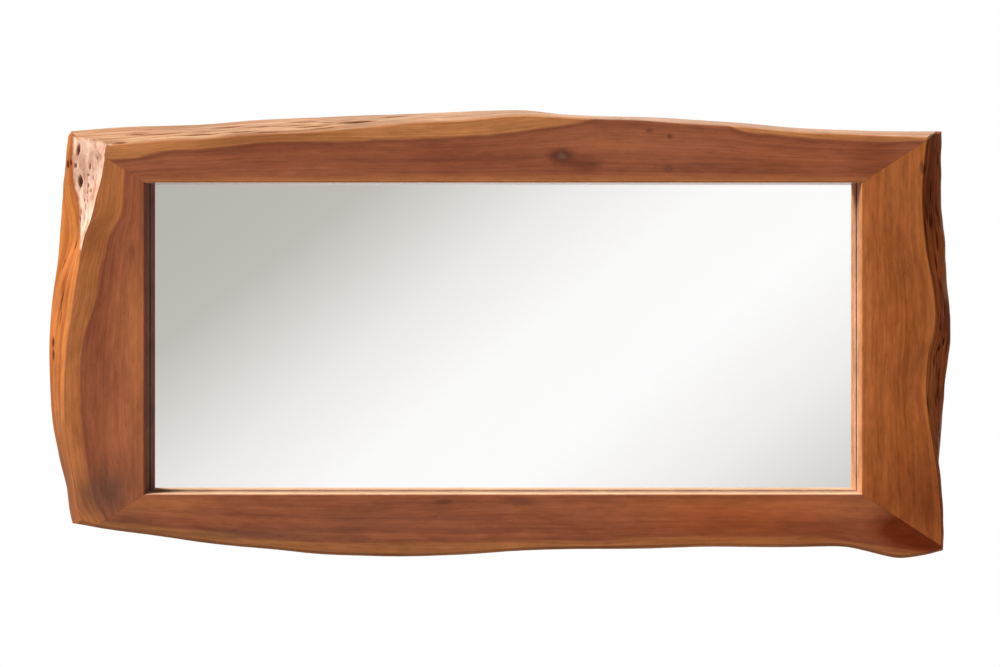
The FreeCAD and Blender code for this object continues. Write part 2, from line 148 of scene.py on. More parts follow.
# Where sapwood meets heartwood on the front, in millimetres along the member and outwards
SAP_LINES = {
    "top_rail": (
        (-560, 32), (-486, 32), (-440, 40), (-395, 42.5), (-330, 50), (-278, 53), (-134, 55.5), (-30, 61),
        (35, 69), (100, 78), (130, 88), (160, 98), (260, 98), (302, 70), (360, 61), (451, 54), (560, 54),
    ),
    "left_stile": (
        (-260, 40), (-238, 49), (-217, 62), (-184, 71.5), (-132, 81), (-80, 84), (-28, 83), (11, 77),
        (50, 64), (87, 58), (109, 52), (135, 45), (161, 30), (193, 26.5), (217, 25), (260, 24),
    ),
    "bottom_rail": (
        (-560, 30), (-519, 35), (-486, 38.5), (-395, 46.5), (-304, 57), (-213, 62), (-134, 63.5), (-43, 62),
        (22, 59.5), (126, 61), (178, 55.5), (334, 54), (412, 54), (451, 61), (490, 66), (523, 70), (570, 74),
    ),
    "right_stile": ((-270, 96), (-150, 88), (-60, 76), (0, 84), (60, 84), (130, 70), (200, 70), (270, 72)),
}
GRAIN_FAN = 0.75  # how far the grain follows the sapwood line instead of the opening
LIVE_GRAIN = 0.6  # how fast the live edge runs through the growth rings, by depth

# A member's directions, the opening's half sizes along and across it, how far its mitre runs along for
# each step outwards, and its packed surface
Side = namedtuple("Side", "along outward half_along half_out run tree")


def member_tree(node):
    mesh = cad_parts[node].data
    return BVHTree.FromPolygons([v.co for v in mesh.vertices], [p.vertices[:] for p in mesh.polygons])


def inner_reach(tree, outward, y):
    """Distance from the opening's middle to a member's inner face at one depth."""
    return tree.ray_cast(Vector((0, y, 0)), outward)[0].dot(outward)


def all_sides():
    """The four members' sides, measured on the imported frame."""
    ways = {
        "top_rail": (RIGHT, UP),
        "right_stile": (UP, RIGHT),
        "bottom_rail": (RIGHT, -UP),
        "left_stile": (UP, -RIGHT),
    }
    trees = {name: member_tree(name) for name in ways}
    lip_middle = (FRONT_Y + LIP_Y) / 2
    half_width = inner_reach(trees["right_stile"], RIGHT, lip_middle)
    half_height = inner_reach(trees["top_rail"], UP, lip_middle)
    slope = math.tan(MITRE_ANGLE)
    sides = {}
    for name, (along, outward) in ways.items():
        if along is RIGHT:
            sides[name] = Side(along, outward, half_width, half_height, 1 / slope, trees[name])
        else:
            sides[name] = Side(along, outward, half_height, half_width, slope, trees[name])
    return sides


SIDES = all_sides()
TOP = SIDES["top_rail"]
PANE_REBATE = inner_reach(TOP.tree, UP, (LIP_Y + PANE_BACK_Y) / 2) - TOP.half_out
BOARD_REBATE = inner_reach(TOP.tree, UP, (BOARD_BACK_Y + BACK_Y) / 2) - TOP.half_out


def ease(low, high, value):
    """Smooth step from 0 at low to 1 at high."""
    share = min(max((value - low) / (high - low), 0.0), 1.0)
    return share * share * (3 - 2 * share)


def smooth_line(points, place):
    """Height of a smooth curve through a few points at one place."""
    if place <= points[0][0]:
        return points[0][1]
    if place >= points[-1][0]:
        return points[-1][1]
    index = max(i for i, point in enumerate(points) if point[0] <= place)
    index = min(index, len(points) - 2)
    before = points[max(index - 1, 0)]
    start, end = points[index], points[index + 1]
    after = points[min(index + 2, len(points) - 1)]
    span = end[0] - start[0]
    share = (place - start[0]) / span
    leave = span * (end[1] - before[1]) / (end[0] - before[0])
    arrive = span * (after[1] - start[1]) / (after[0] - start[0])
    square, cube = share * share, share ** 3
    return (
        (2 * cube - 3 * square + 1) * start[1] + (cube - 2 * square + share) * leave
        + (3 * square - 2 * cube) * end[1] + (cube - square) * arrive
    )


# Members


def along_at(side, share, out):
    """Place along a member at a share of the way between its two mitres."""
    return (2 * share - 1) * (side.half_along + side.run * out)


def member_point(side, share, out, y):
    outwards = side.outward * (side.half_out + out)
    return side.along * along_at(side, share, out) + outwards + TOWARDS_WALL * y


# Trimming of the live edge, in millimetres along the member and outwards: at its front arris, and
# at its back
FRONT_TRIM = {
    "top_rail": (
        (-545, 0.0), (-515, 0.6), (-417, 1.3), (-340, 2.4), (-260, 2.6), (-180, 2.2), (-100, 1.6),
        (-30, 1.4), (40, 2.2), (130, 1.2), (200, 2.2), (310, 2.4), (390, 1.8), (450, 1.0), (520, 1.2),
        (552, 0.0),
    ),
    "left_stile": (
        (98, 0.0), (116, 0.8), (133, 2.4), (157, 3.2), (180, 3.6), (204, 1.8), (226, 0.4), (238, 0.0),
    ),
}
BACK_TRIM = {
    "left_stile": ((-252, 0.3), (-244, 1.2), (-230, 1.4), (-216, 0.8), (-202, 0.0)),
    "right_stile": (
        (-60, 0.6), (-30, 1.0), (20, 1.2), (62, 1.0), (85, 1.3), (120, 1.4), (150, 0.6), (190, 0.8),
        (215, 1.6), (240, 2.0), (258, 1.2), (276, 0.0),
    ),
}
FRONT_TRIM_END = 0.8  # share of the depth at which the front's trimming has run out
BACK_TRIM_START = 0.2


def trimming(name, along, depth_share):
    """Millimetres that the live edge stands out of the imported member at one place."""
    trim = 0.0
    if name in FRONT_TRIM:
        trim += smooth_line(FRONT_TRIM[name], along) * (1 - ease(0, FRONT_TRIM_END, depth_share))
    if name in BACK_TRIM:
        trim += smooth_line(BACK_TRIM[name], along) * ease(BACK_TRIM_START, 1, depth_share)
    return trim


def live_reach(name, side, share, y):
    """How far a member reaches outwards at one depth."""
    inside = min(max(share, END_COLUMN_SHARE), 1 - END_COLUMN_SHARE)
    depth = min(max(y, FRONT_Y + EDGE_DEPTHS[1] / 2), BACK_Y - EDGE_DEPTHS[1])
    start = member_point(side, inside, FAR_OUT, depth)
    end = member_point(side, inside, 0, depth)
    hit = side.tree.ray_cast(start, (end - start).normalized())[0]
    trim = trimming(name, hit.dot(side.along) / MM, (y - FRONT_Y) / THICKNESS)
    return hit.dot(side.outward) - side.half_out + trim * MM


def column_shares(count):
    """Places of the columns along a member, closer together towards its mitres."""
    shares = [k / (count - 1) for k in range(count)]
    spread = [k - COLUMN_CROWDING * math.sin(2 * math.pi * k) / (2 * math.pi) for k in shares]
    return spread[:1] + [END_COLUMN_SHARE] + spread[1:-1] + [1 - END_COLUMN_SHARE] + spread[-1:]


def live_depths():
    """Depths of the rows down the live edge, closest together behind the front arris."""
    rest = [EDGE_DEPTHS[-1] + (THICKNESS - EDGE_DEPTHS[-1]) * k / LIVE_ROWS for k in range(1, LIVE_ROWS + 1)]
    return [FRONT_Y + depth for depth in list(EDGE_DEPTHS) + rest]


def even(count):
    return [k / count for k in range(count)]


def profile_rows():
    """Rows of a member's closed section, walked from the inner wall over the front to the back."""
    crowded = [0.5 - 0.5 * math.cos(math.pi * share) for share in even(FRONT_ROWS)]
    rows = [("arris", share) for share in even(ARRIS_ROWS)]
    rows += [("front", share) for share in crowded]
    rows += [("live", index) for index in range(len(live_depths()))]
    rows += [("back", share) for share in even(BACK_ROWS)[1:]]
    for region in ("board wall", "shoulder", "pane wall", "lip"):
        rows += [(region, share) for share in even(STEP_ROWS)]
    rows += [("inner wall", share) for share in even(WALL_ROWS)]
    return rows + rows[:1]


def section_place(region, share, reaches):
    """Distance outwards and depth of one row of the section."""
    front_reach, back_reach = reaches[0], reaches[-1]
    if region == "arris":
        turn = share * math.pi / 2
        return INNER_ARRIS * (1 - math.cos(turn)), FRONT_Y + INNER_ARRIS * (1 - math.sin(turn))
    if region == "front":
        return INNER_ARRIS + share * (front_reach - INNER_ARRIS), FRONT_Y
    if region == "back":
        return back_reach + share * (BOARD_REBATE - back_reach), BACK_Y
    if region == "board wall":
        return BOARD_REBATE, BACK_Y + share * (PANE_BACK_Y - BACK_Y)
    if region == "shoulder":
        return BOARD_REBATE + share * (PANE_REBATE - BOARD_REBATE), PANE_BACK_Y
    if region == "pane wall":
        return PANE_REBATE, PANE_BACK_Y + share * (LIP_Y - PANE_BACK_Y)
    if region == "lip":
        return PANE_REBATE * (1 - share), LIP_Y
    return 0.0, LIP_Y + share * (FRONT_Y + INNER_ARRIS - LIP_Y)


# Old slits in the live edge: millimetres along the member, share of the depth, then half length
# along, half width down the edge and depth in millimetres
SLOTS = {
    "top_rail": (
        (-500, 0.10, 12, 1.8, 1.1), (-481, 0.46, 24, 2.0, 1.2), (-452, 0.36, 40, 1.8, 1.1),
        (-397, 0.22, 40, 1.8, 1.3), (-383, 0.40, 34, 1.8, 1.1), (-362, 0.60, 30, 2.2, 1.0),
        (-340, 0.20, 26, 1.6, 1.1), (-318, 0.47, 34, 2.2, 1.4), (-308, 0.13, 20, 1.6, 1.0),
        (-276, 0.42, 32, 2.0, 1.2), (-262, 0.67, 36, 2.6, 1.3), (-250, 0.29, 30, 1.9, 1.3),
        (-236, 0.17, 22, 1.6, 1.0), (-226, 0.51, 28, 2.2, 1.3), (-192, 0.40, 31, 4.6, 3.0),
        (-141, 0.76, 26, 2.8, 1.7), (-118, 0.35, 24, 1.8, 0.9),
    ),
    "left_stile": (
        (250, 0.45, 13, 1.5, 2.2), (229, 0.61, 7, 1.3, 2.2), (231, 0.555, 6, 1.0, 1.5),
        (227, 0.47, 5, 1.1, 1.7), (206, 0.40, 10, 2.0, 3.0), (241, 0.17, 9, 1.7, 2.0),
        (225, 0.27, 5, 0.9, 1.2), (214, 0.28, 4, 0.9, 1.1), (200, 0.27, 4.5, 1.0, 1.4),
        (193, 0.20, 4, 0.9, 1.1), (210, 0.20, 7, 0.8, 1.0), (191, 0.27, 3.5, 0.8, 1.0),
        (181, 0.33, 3.5, 0.9, 1.3), (180, 0.25, 3, 0.9, 1.1), (172, 0.29, 7, 0.9, 1.2),
        (166, 0.43, 7, 1.0, 1.5), (156, 0.47, 5.5, 1.2, 2.0), (157, 0.33, 5, 0.9, 1.3),
        (150, 0.38, 3.5, 0.8, 1.0), (142, 0.42, 5, 0.9, 1.0), (122, 0.59, 8, 1.8, 2.4),
        (97, 0.80, 14, 1.2, 0.8), (72, 0.56, 20, 1.3, 1.0), (50, 0.45, 22, 1.3, 1.0),
        (26, 0.40, 18, 1.2, 0.8), (-7, 0.62, 9, 4.0, 1.5), (-23, 0.60, 10, 4.0, 1.3),
        (-46, 0.47, 14, 1.2, 0.9),
    ),
    "bottom_rail": ((-300, 0.5, 16, 3.0, 1.0), (120, 0.6, 14, 3.0, 1.0)),
    "right_stile": (
        (221, 0.05, 9, 1.6, 2.0), (190, 0.38, 22, 1.8, 1.4), (172, 0.62, 14, 2.0, 1.4),
        (152, 0.30, 14, 1.8, 1.3), (128, 0.50, 16, 2.2, 1.6), (99, 0.34, 15, 2.0, 1.4),
        (69, 0.38, 14, 2.0, 1.5), (40, 0.55, 16, 2.2, 1.4), (14, 0.30, 10, 1.8, 1.4),
        (-4, 0.50, 6, 2.6, 2.0), (-13, 0.38, 5, 2.2, 1.9), (-30, 0.26, 12, 1.8, 1.4),
        (-50, 0.50, 14, 2.0, 1.4), (-82, 0.42, 16, 1.8, 1.2), (-120, 0.40, 18, 1.6, 1.0),
    ),
}
SLOT_END = 1.2  # half lengths from the middle of a slit to where it has run out
SLOT_WALL = (0.2, 1.2)  # half widths from its middle, over which its walls rise
SLOT_WANDER, SLOT_WANDER_LENGTH, SLOT_WANDER_STEP = 0.3, 17, 40
# Each member's bark side: how far it undulates, how deep its grooves go and how many it has
BarkSide = namedtuple("BarkSide", "wave wave_length groove groove_length groove_width share seed")
BARK_SIDES = {
    "top_rail": BarkSide(0.7, 90, 0.9, 70, 5.0, 0.40, 3.1),
    "left_stile": BarkSide(0.6, 70, 0.6, 60, 5.0, 0.30, 7.7),
    "bottom_rail": BarkSide(0.6, 80, 0.7, 60, 6.0, 0.30, 12.3),
    "right_stile": BarkSide(1.5, 30, 1.3, 46, 5.0, 0.60, 21.9),
}
WAVE_HEIGHT = 16  # millimetres down the edge
GROOVES_FADE = (-60, 60)  # along the top rail, whose right half is smoother
GROOVES_LOST = 0.8
GROOVE_CHOICE = 0.15  # how gradually grooves are left out
GROOVE_CHOICE_STEP = 5.3
GROOVE_WALL = (0.10, 0.45)  # of the way to the next groove, where its wall rises
FIBRE_RELIEF = 0.10
FIBRE_SIZE = (12, 0.9)  # millimetres along and down
OLD_BARK_DEPTH = 2.2  # of a hollow that is as dark as they get
RELIEF_END = 14  # from a mitre, over which the relief fades out

# The bare patch round the top left corner: its left border by height, and its sloping upper border
WANE_BORDER = (
    (112, -552), (140, -556.5), (172, -558), (187, -560), (198, -564.5), (216, -566), (240, -567),
    (264, -566),
)
WANE_TOP_X, WANE_TOP_Z, WANE_TOP_SLOPE = -519, 253.5, -0.24
WANE_FIBRE = 0.35
WANE_FIBRE_SIZE = (9, 1.3)
WANE_FIBRE_SEED = 4  # beyond the seed of the member's own fibres
WANE_WANDER = 2.0  # of its borders
WANE_WANDER_SIZE = (7, 30)
WANE_WANDER_SEEDS = (2.5, 8.5)
WANE_INWARDS, WANE_OUTWARDS = 2.5, 2.0  # how soft its borders are
WANE_TIP_HEIGHT = 8  # over which it comes in at its lower tip
WANE_RIM = (-2, 1, 7)  # from its left border outwards: where the red rim starts, is full and ends
WANE_RIM_HEIGHT = 50

# The rounded left end stays inside these reaches: millimetres along, then outwards
OUTER_LIMITS = {
    "left_stile": (
        (150, 140), (184, 121), (195, 118.4), (206, 116), (216, 113.6), (230, 111.6), (247, 110.4),
        (260, 109.3), (290, 107),
    ),
    "top_rail": ((-600, 70), (-577, 72), (-560, 75), (-540, 80), (-480, 100)),
}
LIMIT_BLEND = 3.0


def soft_least(value, limit, blend):
    """The smaller of two numbers, rounded where they cross."""
    gap = max(blend - abs(value - limit), 0.0) / blend
    return min(value, limit) - gap * gap * blend / 4


def limited_reach(name, along, out):
    """Reach in metres, held inside the member's outer limit."""
    if name not in OUTER_LIMITS:
        return out
    return soft_least(out / MM, smooth_line(OUTER_LIMITS[name], along), LIMIT_BLEND) * MM


def scattered_pits(along, down, length, width, share, seed):
    """Oval hollows strewn over a surface: 1 in their middles, 0 between them."""
    distances, points = noise.voronoi(Vector((along / length, down / width, seed)))
    chance = 0.5 + 0.5 * noise.noise(points[0] * GROOVE_CHOICE_STEP)
    kept = ease(1 - share, 1 + GROOVE_CHOICE - share, chance)
    return kept * (1 - ease(*GROOVE_WALL, distances[0]))


def wane_amount(name, x, z):
    """1 on the bare patch, 0 elsewhere, from a place on the live edge in millimetres."""
    if name not in ("left_stile", "top_rail"):
        return 0.0
    near, far = WANE_WANDER_SIZE
    side_seed, top_seed = WANE_WANDER_SEEDS
    border = smooth_line(WANE_BORDER, z) + WANE_WANDER * noise.noise(Vector((z / near, x / far, side_seed)))
    top = WANE_TOP_Z + WANE_TOP_SLOPE * (x - WANE_TOP_X)
    top += WANE_WANDER * noise.noise(Vector((x / near, 0, top_seed)))
    tip = WANE_BORDER[0][0]
    below_top = 1 - ease(top - WANE_INWARDS, top + WANE_INWARDS, z)
    inside = ease(border - WANE_OUTWARDS, border + WANE_INWARDS, x)
    return inside * below_top * ease(tip, tip + WANE_TIP_HEIGHT, z)


def wane_rim(name, x, z):
    """1 just outside the bare patch's left border."""
    if name != "left_stile":
        return 0.0
    from_border = smooth_line(WANE_BORDER, z) - x
    tip = WANE_BORDER[0][0]
    first, full, last = WANE_RIM
    across = ease(first, full, from_border) * (1 - ease(full, last, from_border))
    return across * ease(tip, tip + WANE_RIM_HEIGHT, z)


def slot_hollow(name, along, share):
    """Depth of the old slits in millimetres; each is ragged and narrows to its ends."""
    deepest = 0.0
    for at, at_share, half_length, half_width, depth in SLOTS[name]:
        length = abs(along - at) / half_length
        if length < SLOT_END:
            place = Vector((along / SLOT_WANDER_LENGTH, at, at_share * SLOT_WANDER_STEP))
            across = (share - at_share) * THICKNESS / MM / half_width + SLOT_WANDER * noise.noise(place)
            deepest = max(deepest, depth * (1 - ease(*SLOT_WALL, abs(across) + length * length)))
    return deepest


def live_relief(name, along, share, wane):
    """Hollow of the live edge in millimetres, and how dark it is with old bark."""
    bark = BARK_SIDES[name]
    down = share * THICKNESS / MM
    wave_place = Vector((along / bark.wave_length, down / WAVE_HEIGHT, bark.seed))
    wave = bark.wave * (1 - wane) * noise.noise(wave_place)
    fade = 1 - GROOVES_LOST * ease(*GROOVES_FADE, along) if name == "top_rail" else 1.0
    groove = fade * scattered_pits(along, down, bark.groove_length, bark.groove_width, bark.share, bark.seed)
    hollow = max((1 - wane) * groove * bark.groove, slot_hollow(name, along, share))
    fibre = 0.0
    for relief, (long, high), seed in (
        (FIBRE_RELIEF, FIBRE_SIZE, bark.seed),
        (wane * WANE_FIBRE, WANE_FIBRE_SIZE, bark.seed + WANE_FIBRE_SEED),
    ):
        fibre += relief * noise.noise(Vector((along / long, down / high, seed)))
    return wave + hollow + fibre, min(hollow / OLD_BARK_DEPTH, 1.0)


# Broad patches of the front: what they turn to, millimetres along and outwards, half lengths,
# then how strongly
PATCHES = {
    "top_rail": (
        ("deep", -60, 34, 130, 20, 0.24), ("deep", -300, 38, 90, 14, 0.12), ("deep", 100, 24, 40, 14, 0.28),
        ("deep", 230, 20, 70, 20, 0.06), ("deep", 490, 30, 36, 24, 0.40), ("pale", 0, 1, 700, 6, 0.50),
        ("pale", 150, 60, 120, 14, 0.10), ("pale", -480, 60, 60, 30, 0.08),
        ("deep", -330, 66, 100, 20, 0.34), ("warm", 400, 30, 110, 40, 0.25),
    ),
    "left_stile": (
        ("grey", -200, 42, 34, 24, 0.88), ("grey", -205, 76, 30, 18, 0.55), ("deep", 20, 58, 90, 16, 0.16),
        ("deep", 130, 72, 44, 26, 0.22), ("pale", -10, 10, 150, 14, 0.30), ("pale", 24, 22, 50, 20, 0.20),
        ("deep", 150, 16, 40, 20, 0.14), ("pale", 195, 44, 30, 20, 0.10),
    ),
    "bottom_rail": (
        ("deep", 522, 46, 36, 27, 1.3), ("deep", 560, 66, 26, 12, 1.0), ("deep", 430, 46, 80, 18, 0.30),
        ("deep", 300, 44, 130, 12, 0.34), ("warm", 300, 26, 130, 36, 0.45), ("deep", -40, 30, 200, 24, 0.12),
        ("grey", -160, 34, 190, 26, 0.30), ("pale", 320, 10, 150, 8, 0.16), ("pale", -440, 12, 70, 12, 0.26),
        ("grey", -330, 52, 110, 8, 0.50), ("grey", -490, 36, 40, 24, 0.35), ("deep", 260, 68, 90, 10, 0.22),
    ),
    "right_stile": (
        ("deep", -190, 70, 74, 50, 0.42), ("deep", -225, 14, 40, 26, 0.40), ("deep", 25, 56, 60, 24, 0.18),
        ("deep", 190, 92, 60, 9, 0.45), ("pale", 60, 6, 110, 10, 0.30), ("pale", 195, 46, 50, 24, 0.16),
        ("pale", 30, 94, 46, 8, 0.26), ("deep", -60, 60, 60, 30, 0.16), ("deep", 110, 40, 40, 22, 0.12),
        ("deep", -225, 92, 60, 30, 0.34),
    ),
}
# The same on the live edge, with a share of the depth in place of the distance outwards
EDGE_PATCHES = {
    "top_rail": (
        # The pale pinkish grey patches on the top rail's upper edge are painted sheen
        ("sheen_pale", 260, 0.5, 330, 0.7, 0.60), ("sheen_pale", -300, 0.7, 160, 0.3, 0.15),
        ("sheen_pale", 420, 1.0, 200, 0.5, 0.35), ("sheen_pale", 182, 0.5, 60, 0.7, 0.58),
        ("grey", -160, 0.5, 140, 1.0, 0.08),
    ),
    "left_stile": (
        ("grey", -190, 0.4, 96, 0.8, 0.68), ("deep", -58, 0.5, 42, 0.4, 0.32),
        ("deep", 58, 0.46, 46, 0.07, 0.50), ("deep", 96, 0.86, 26, 0.10, 0.25),
        # The two pale streaks just behind the front arris are a painted highlight of that arris
        ("pale", 70, 0.10, 90, 0.06, 0.55), ("pale", 0, 0.08, 60, 0.05, 0.40),
        ("deep", 30, 0.28, 60, 0.07, 0.30), ("grey", 236, 0.4, 36, 0.9, 0.30),
    ),
    "bottom_rail": (),
    "right_stile": (
        ("pale", -75, 0.18, 60, 0.16, 0.30), ("deep", 200, 0.35, 70, 0.4, 0.45),
        ("pale", 120, 0.75, 90, 0.2, 0.18), ("deep", 25, 0.7, 30, 0.4, 0.40),
        # The grey at the top end, by the mitre, is painted shade of the crease there
        ("grey", 284, 0.5, 20, 1.2, 0.50),
    ),
}
PATCH_KINDS = ("deep", "pale", "grey", "sheen_pale", "warm")


def patch_amounts(patches, along, across):
    """How strongly each kind of patch colours a place."""
    amounts = dict.fromkeys(PATCH_KINDS, 0.0)
    for kind, at, at_across, half_length, half_width, strength in patches:
        reach = ((along - at) / half_length) ** 2 + ((across - at_across) / half_width) ** 2
        amounts[kind] += strength * math.exp(-reach)
    return amounts


# Amounts that each vertex of a member carries for its finish
LAYERS = ("across", "heart", "skin", "bark", "wane", "rim", "wall") + PATCH_KINDS
SKIN_DEPTHS = (1.0 * MM, 2.6 * MM)  # behind the front, where the planed arris gives way to the bark side


def live_vertex(name, side, share, y, cad_out):
    """Reach of a point of the live edge with its relief, and its surface amounts."""
    depth = y - FRONT_Y
    depth_share = depth / THICKNESS
    along = along_at(side, share, cad_out) / MM
    out = limited_reach(name, along, cad_out)
    place = member_point(side, share, out, y) / MM
    wane = wane_amount(name, place.x, place.z) * ease(0, EDGE_DEPTHS[2], depth)
    hollow, bark = live_relief(name, along, depth_share, wane)
    to_mitre = (1 - abs(2 * share - 1)) * side.half_along / MM
    fade = ease(EDGE_DEPTHS[1], EDGE_DEPTHS[-1], depth) * ease(0, RELIEF_END, to_mitre)
    skin = ease(*SKIN_DEPTHS, depth)
    planed = patch_amounts(PATCHES[name], along, out / MM)
    barky = patch_amounts(EDGE_PATCHES[name], along, depth_share)
    amounts = {kind: (1 - skin) * planed[kind] + skin * barky[kind] for kind in PATCH_KINDS}
    amounts.update(wane=wane, bark=bark * fade, skin=skin, rim=wane_rim(name, place.x, place.z))
    return out - hollow * fade * MM, amounts


def planed_wave(name, along, out):
    """How far the planed front lies behind its plane."""
    place = Vector((along / PLANED_WAVE_SIZE[0], out / MM / PLANED_WAVE_SIZE[1], len(name)))
    return PLANED_WAVE * (0.5 + 0.5 * noise.noise(place))


def planed_vertex(name, side, share, region, place, reaches):
    """Distance outwards and depth of a point of the planed faces, and its surface amounts."""
    out, y = section_place(region, place, reaches)
    along = along_at(side, share, out) / MM
    amounts = patch_amounts(PATCHES[name], along, out / MM) if region in ("arris", "front") else {}
    if region == "front":
        y += planed_wave(name, along, out)
    elif region == "arris":
        amounts["wall"] = (1 - place) ** ARRIS_WALL_POWER
    elif region == "inner wall":
        amounts["wall"] = 1.0
    return out, y, amounts


def growth_amounts(name, region, along, out, y, front_reach):
    """Where a point lies across the grain, and how far inside the sapwood line."""
    usual_sap = SAP_LINES[name][len(SAP_LINES[name]) // 2][1]
    sap_line = smooth_line(SAP_LINES[name], along)
    if region == "live":
        across = usual_sap * MM + LIVE_GRAIN * (y - FRONT_Y)
    else:
        across = out * (1 - GRAIN_FAN + GRAIN_FAN * usual_sap / min(sap_line, front_reach / MM))
    return {"across": across, "heart": sap_line * MM - out}


def member_slab(name):
    """One member of the frame: a grid wrapped round its section, with its ends closed at the mitres."""
    side = SIDES[name]
    columns = column_shares(RAIL_COLUMNS if side.along is RIGHT else STILE_COLUMNS)
    rows = profile_rows()
    depths = live_depths()
    grid = bmesh.new()
    bmesh.ops.create_grid(grid, x_segments=len(columns) - 1, y_segments=len(rows) - 1, size=1)
    layers = {label: grid.verts.layers.float.new(label) for label in LAYERS}
    reaches = [[live_reach(name, side, share, y) for y in depths] for share in columns]
    for vertex in grid.verts:
        column = round((vertex.co.x + 1) / 2 * (len(columns) - 1))
        region, place = rows[round((vertex.co.y + 1) / 2 * (len(rows) - 1))]
        share, reach = columns[column], reaches[column]
        if region == "live":
            y = depths[place]
            out, amounts = live_vertex(name, side, share, y, reach[place])
        else:
            out, y, amounts = planed_vertex(name, side, share, region, place, reach)
        if region in ("front", "live", "back") and share in (0.0, 1.0):
            y += MITRE_NICK if y < (FRONT_Y + BACK_Y) / 2 else -MITRE_NICK
        along = along_at(side, share, out) / MM
        amounts.update(growth_amounts(name, region, along, out, y, reach[0]))
        for label, amount in amounts.items():
            vertex[layers[label]] = amount
        point = member_point(side, share, out, y)
        vertex.co = [min(max(c, low), high) for c, low, high in zip(point, *CAD_BOX)]
    bmesh.ops.remove_doubles(grid, verts=grid.verts, dist=MERGE_GAP)
    bmesh.ops.edgeloop_fill(grid, edges=[edge for edge in grid.edges if edge.is_boundary])
    bmesh.ops.recalc_face_normals(grid, faces=grid.faces)
    return finish_piece("slab_" + name, grid, "frame", [name])


def finish_piece(name, shape, body, nodes, rounded=True):
    """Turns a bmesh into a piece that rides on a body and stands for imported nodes."""
    for face in shape.faces:
        face.smooth = rounded
    mesh = bpy.data.meshes.new(name)
    shape.to_mesh(mesh)
    shape.free()
    if rounded:
        mesh.set_sharp_from_angle(angle=SHARP_ANGLE)
    piece = bpy.data.objects.new(name, mesh)
    bpy.context.scene.collection.objects.link(piece)
    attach(piece, body)
    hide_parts(*nodes)
    return piece


# Pane

PANE_SEAM = 0.6 * MM
PAINT_GAP = 0.2 * MM  # between the silvered back and the board behind it
FACING_BACK = 0.99


def glass_pane():
    """Clear sheet with seamed edges, silvered on its back."""
    low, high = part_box("mirror_pane")
    high.y -= PAINT_GAP
    sheet = bmesh.new()
    bmesh.ops.create_cube(sheet, size=1)
    bmesh.ops.scale(sheet, vec=high - low, verts=sheet.verts)
    bmesh.ops.translate(sheet, vec=(low + high) / 2, verts=sheet.verts)
    bmesh.ops.bevel(
        sheet, geom=sheet.edges[:], offset=PANE_SEAM, offset_type="OFFSET", affect="EDGES", segments=2,
        profile=0.5, material=-1,
    )
    bmesh.ops.recalc_face_normals(sheet, faces=sheet.faces)
    for face in sheet.faces:
        face.material_index = 1 if face.normal.y > FACING_BACK else 0
    piece = finish_piece("silvered_pane", sheet, "frame", ["mirror_pane"], rounded=False)
    piece.data.materials.append(clear_glass())
    piece.data.materials.append(silvering())
    return piece


# Node helpers

NOISE_ROUGHNESS = 0.55


def linear(rgb):
    """Colour of the screen, from 0 to 255, as light."""
    shares = [value / 255 for value in rgb]
    return tuple(s / 12.92 if s <= 0.04045 else ((s + 0.055) / 1.055) ** 2.4 for s in shares) + (1.0,)


def feed(tree, socket, value):
    if isinstance(value, bpy.types.NodeSocket):
        tree.links.new(value, socket)
    else:
        socket.default_value = value


def add_node(tree, kind, inputs=None, **settings):
    node = tree.nodes.new("ShaderNode" + kind)
    for label, value in settings.items():
        setattr(node, label, value)
    for label, value in (inputs or {}).items():
        feed(tree, node.inputs[label], value)
    return node


def calc(tree, operation, first, second=0.0, third=0.0):
    return add_node(tree, "Math", {0: first, 1: second, 2: third}, operation=operation).outputs[0]


def mix_colour(tree, factor, first, second, blend="MIX"):
    inputs = {0: factor, 6: first, 7: second}
    return add_node(tree, "Mix", inputs, data_type="RGBA", blend_type=blend).outputs[2]


def between(tree, share, tones):
    """Colour between two screen colours."""
    return mix_colour(tree, share, *[linear(tone) for tone in tones])


def varied(tree, base, value, amount):
    """A base number plus an amount of a socket."""
    return calc(tree, "MULTIPLY_ADD", value, amount, base)


def distance_of(tree, first, second):
    """Distance from the origin of two coordinates."""
    square = calc(tree, "MULTIPLY_ADD", first, first, calc(tree, "MULTIPLY", second, second))
    return calc(tree, "SQRT", square)


def rest_of(tree, share):
    return calc(tree, "SUBTRACT", 1.0, share)


def centred(tree, value):
    """A socket of 0 to 1 as one of -0.5 to 0.5."""
    return calc(tree, "SUBTRACT", value, 0.5)


def rise(tree, value, low, high):
    """Smooth step of a socket from 0 at low to 1 at high."""
    inputs = {"Value": value, "From Min": low, "From Max": high}
    return add_node(tree, "MapRange", inputs, interpolation_type="SMOOTHSTEP").outputs[0]


def stretched_noise(tree, parts, scales, detail):
    """Noise of three coordinates, each with its own scale."""
    scaled = {axis: calc(tree, "MULTIPLY", part, scale) for axis, part, scale in zip("XYZ", parts, scales)}
    vector = add_node(tree, "CombineXYZ", scaled).outputs[0]
    inputs = {"Vector": vector, "Scale": 1.0, "Detail": detail, "Roughness": NOISE_ROUGHNESS}
    return add_node(tree, "TexNoise", inputs).outputs["Fac"]


def attribute(tree, label):
    return add_node(tree, "Attribute", attribute_name=label).outputs["Fac"]


def new_group(label, inputs, outputs):
    """Empty node group with float inputs, and its entry and exit nodes."""
    group = bpy.data.node_groups.new(label, "ShaderNodeTree")
    for name in inputs:
        group.interface.new_socket(name=name, in_out="INPUT", socket_type="NodeSocketFloat")
    for name in outputs:
        group.interface.new_socket(name=name, in_out="OUTPUT", socket_type="NodeSocketFloat")
    return group, group.nodes.new("NodeGroupInput").outputs, group.nodes.new("NodeGroupOutput").inputs


def place_group(tree, group, inputs):
    node = tree.nodes.new("ShaderNodeGroup")
    node.node_tree = group
    for label, value in inputs.items():
        feed(tree, node.inputs[label], value)
    return node.outputs


def new_material(label):
    """Material with a bare node tree and its Principled shader."""
    material = bpy.data.materials.new(label)
    material.use_nodes = True
    tree = material.node_tree
    return material, tree, tree.nodes["Principled BSDF"]


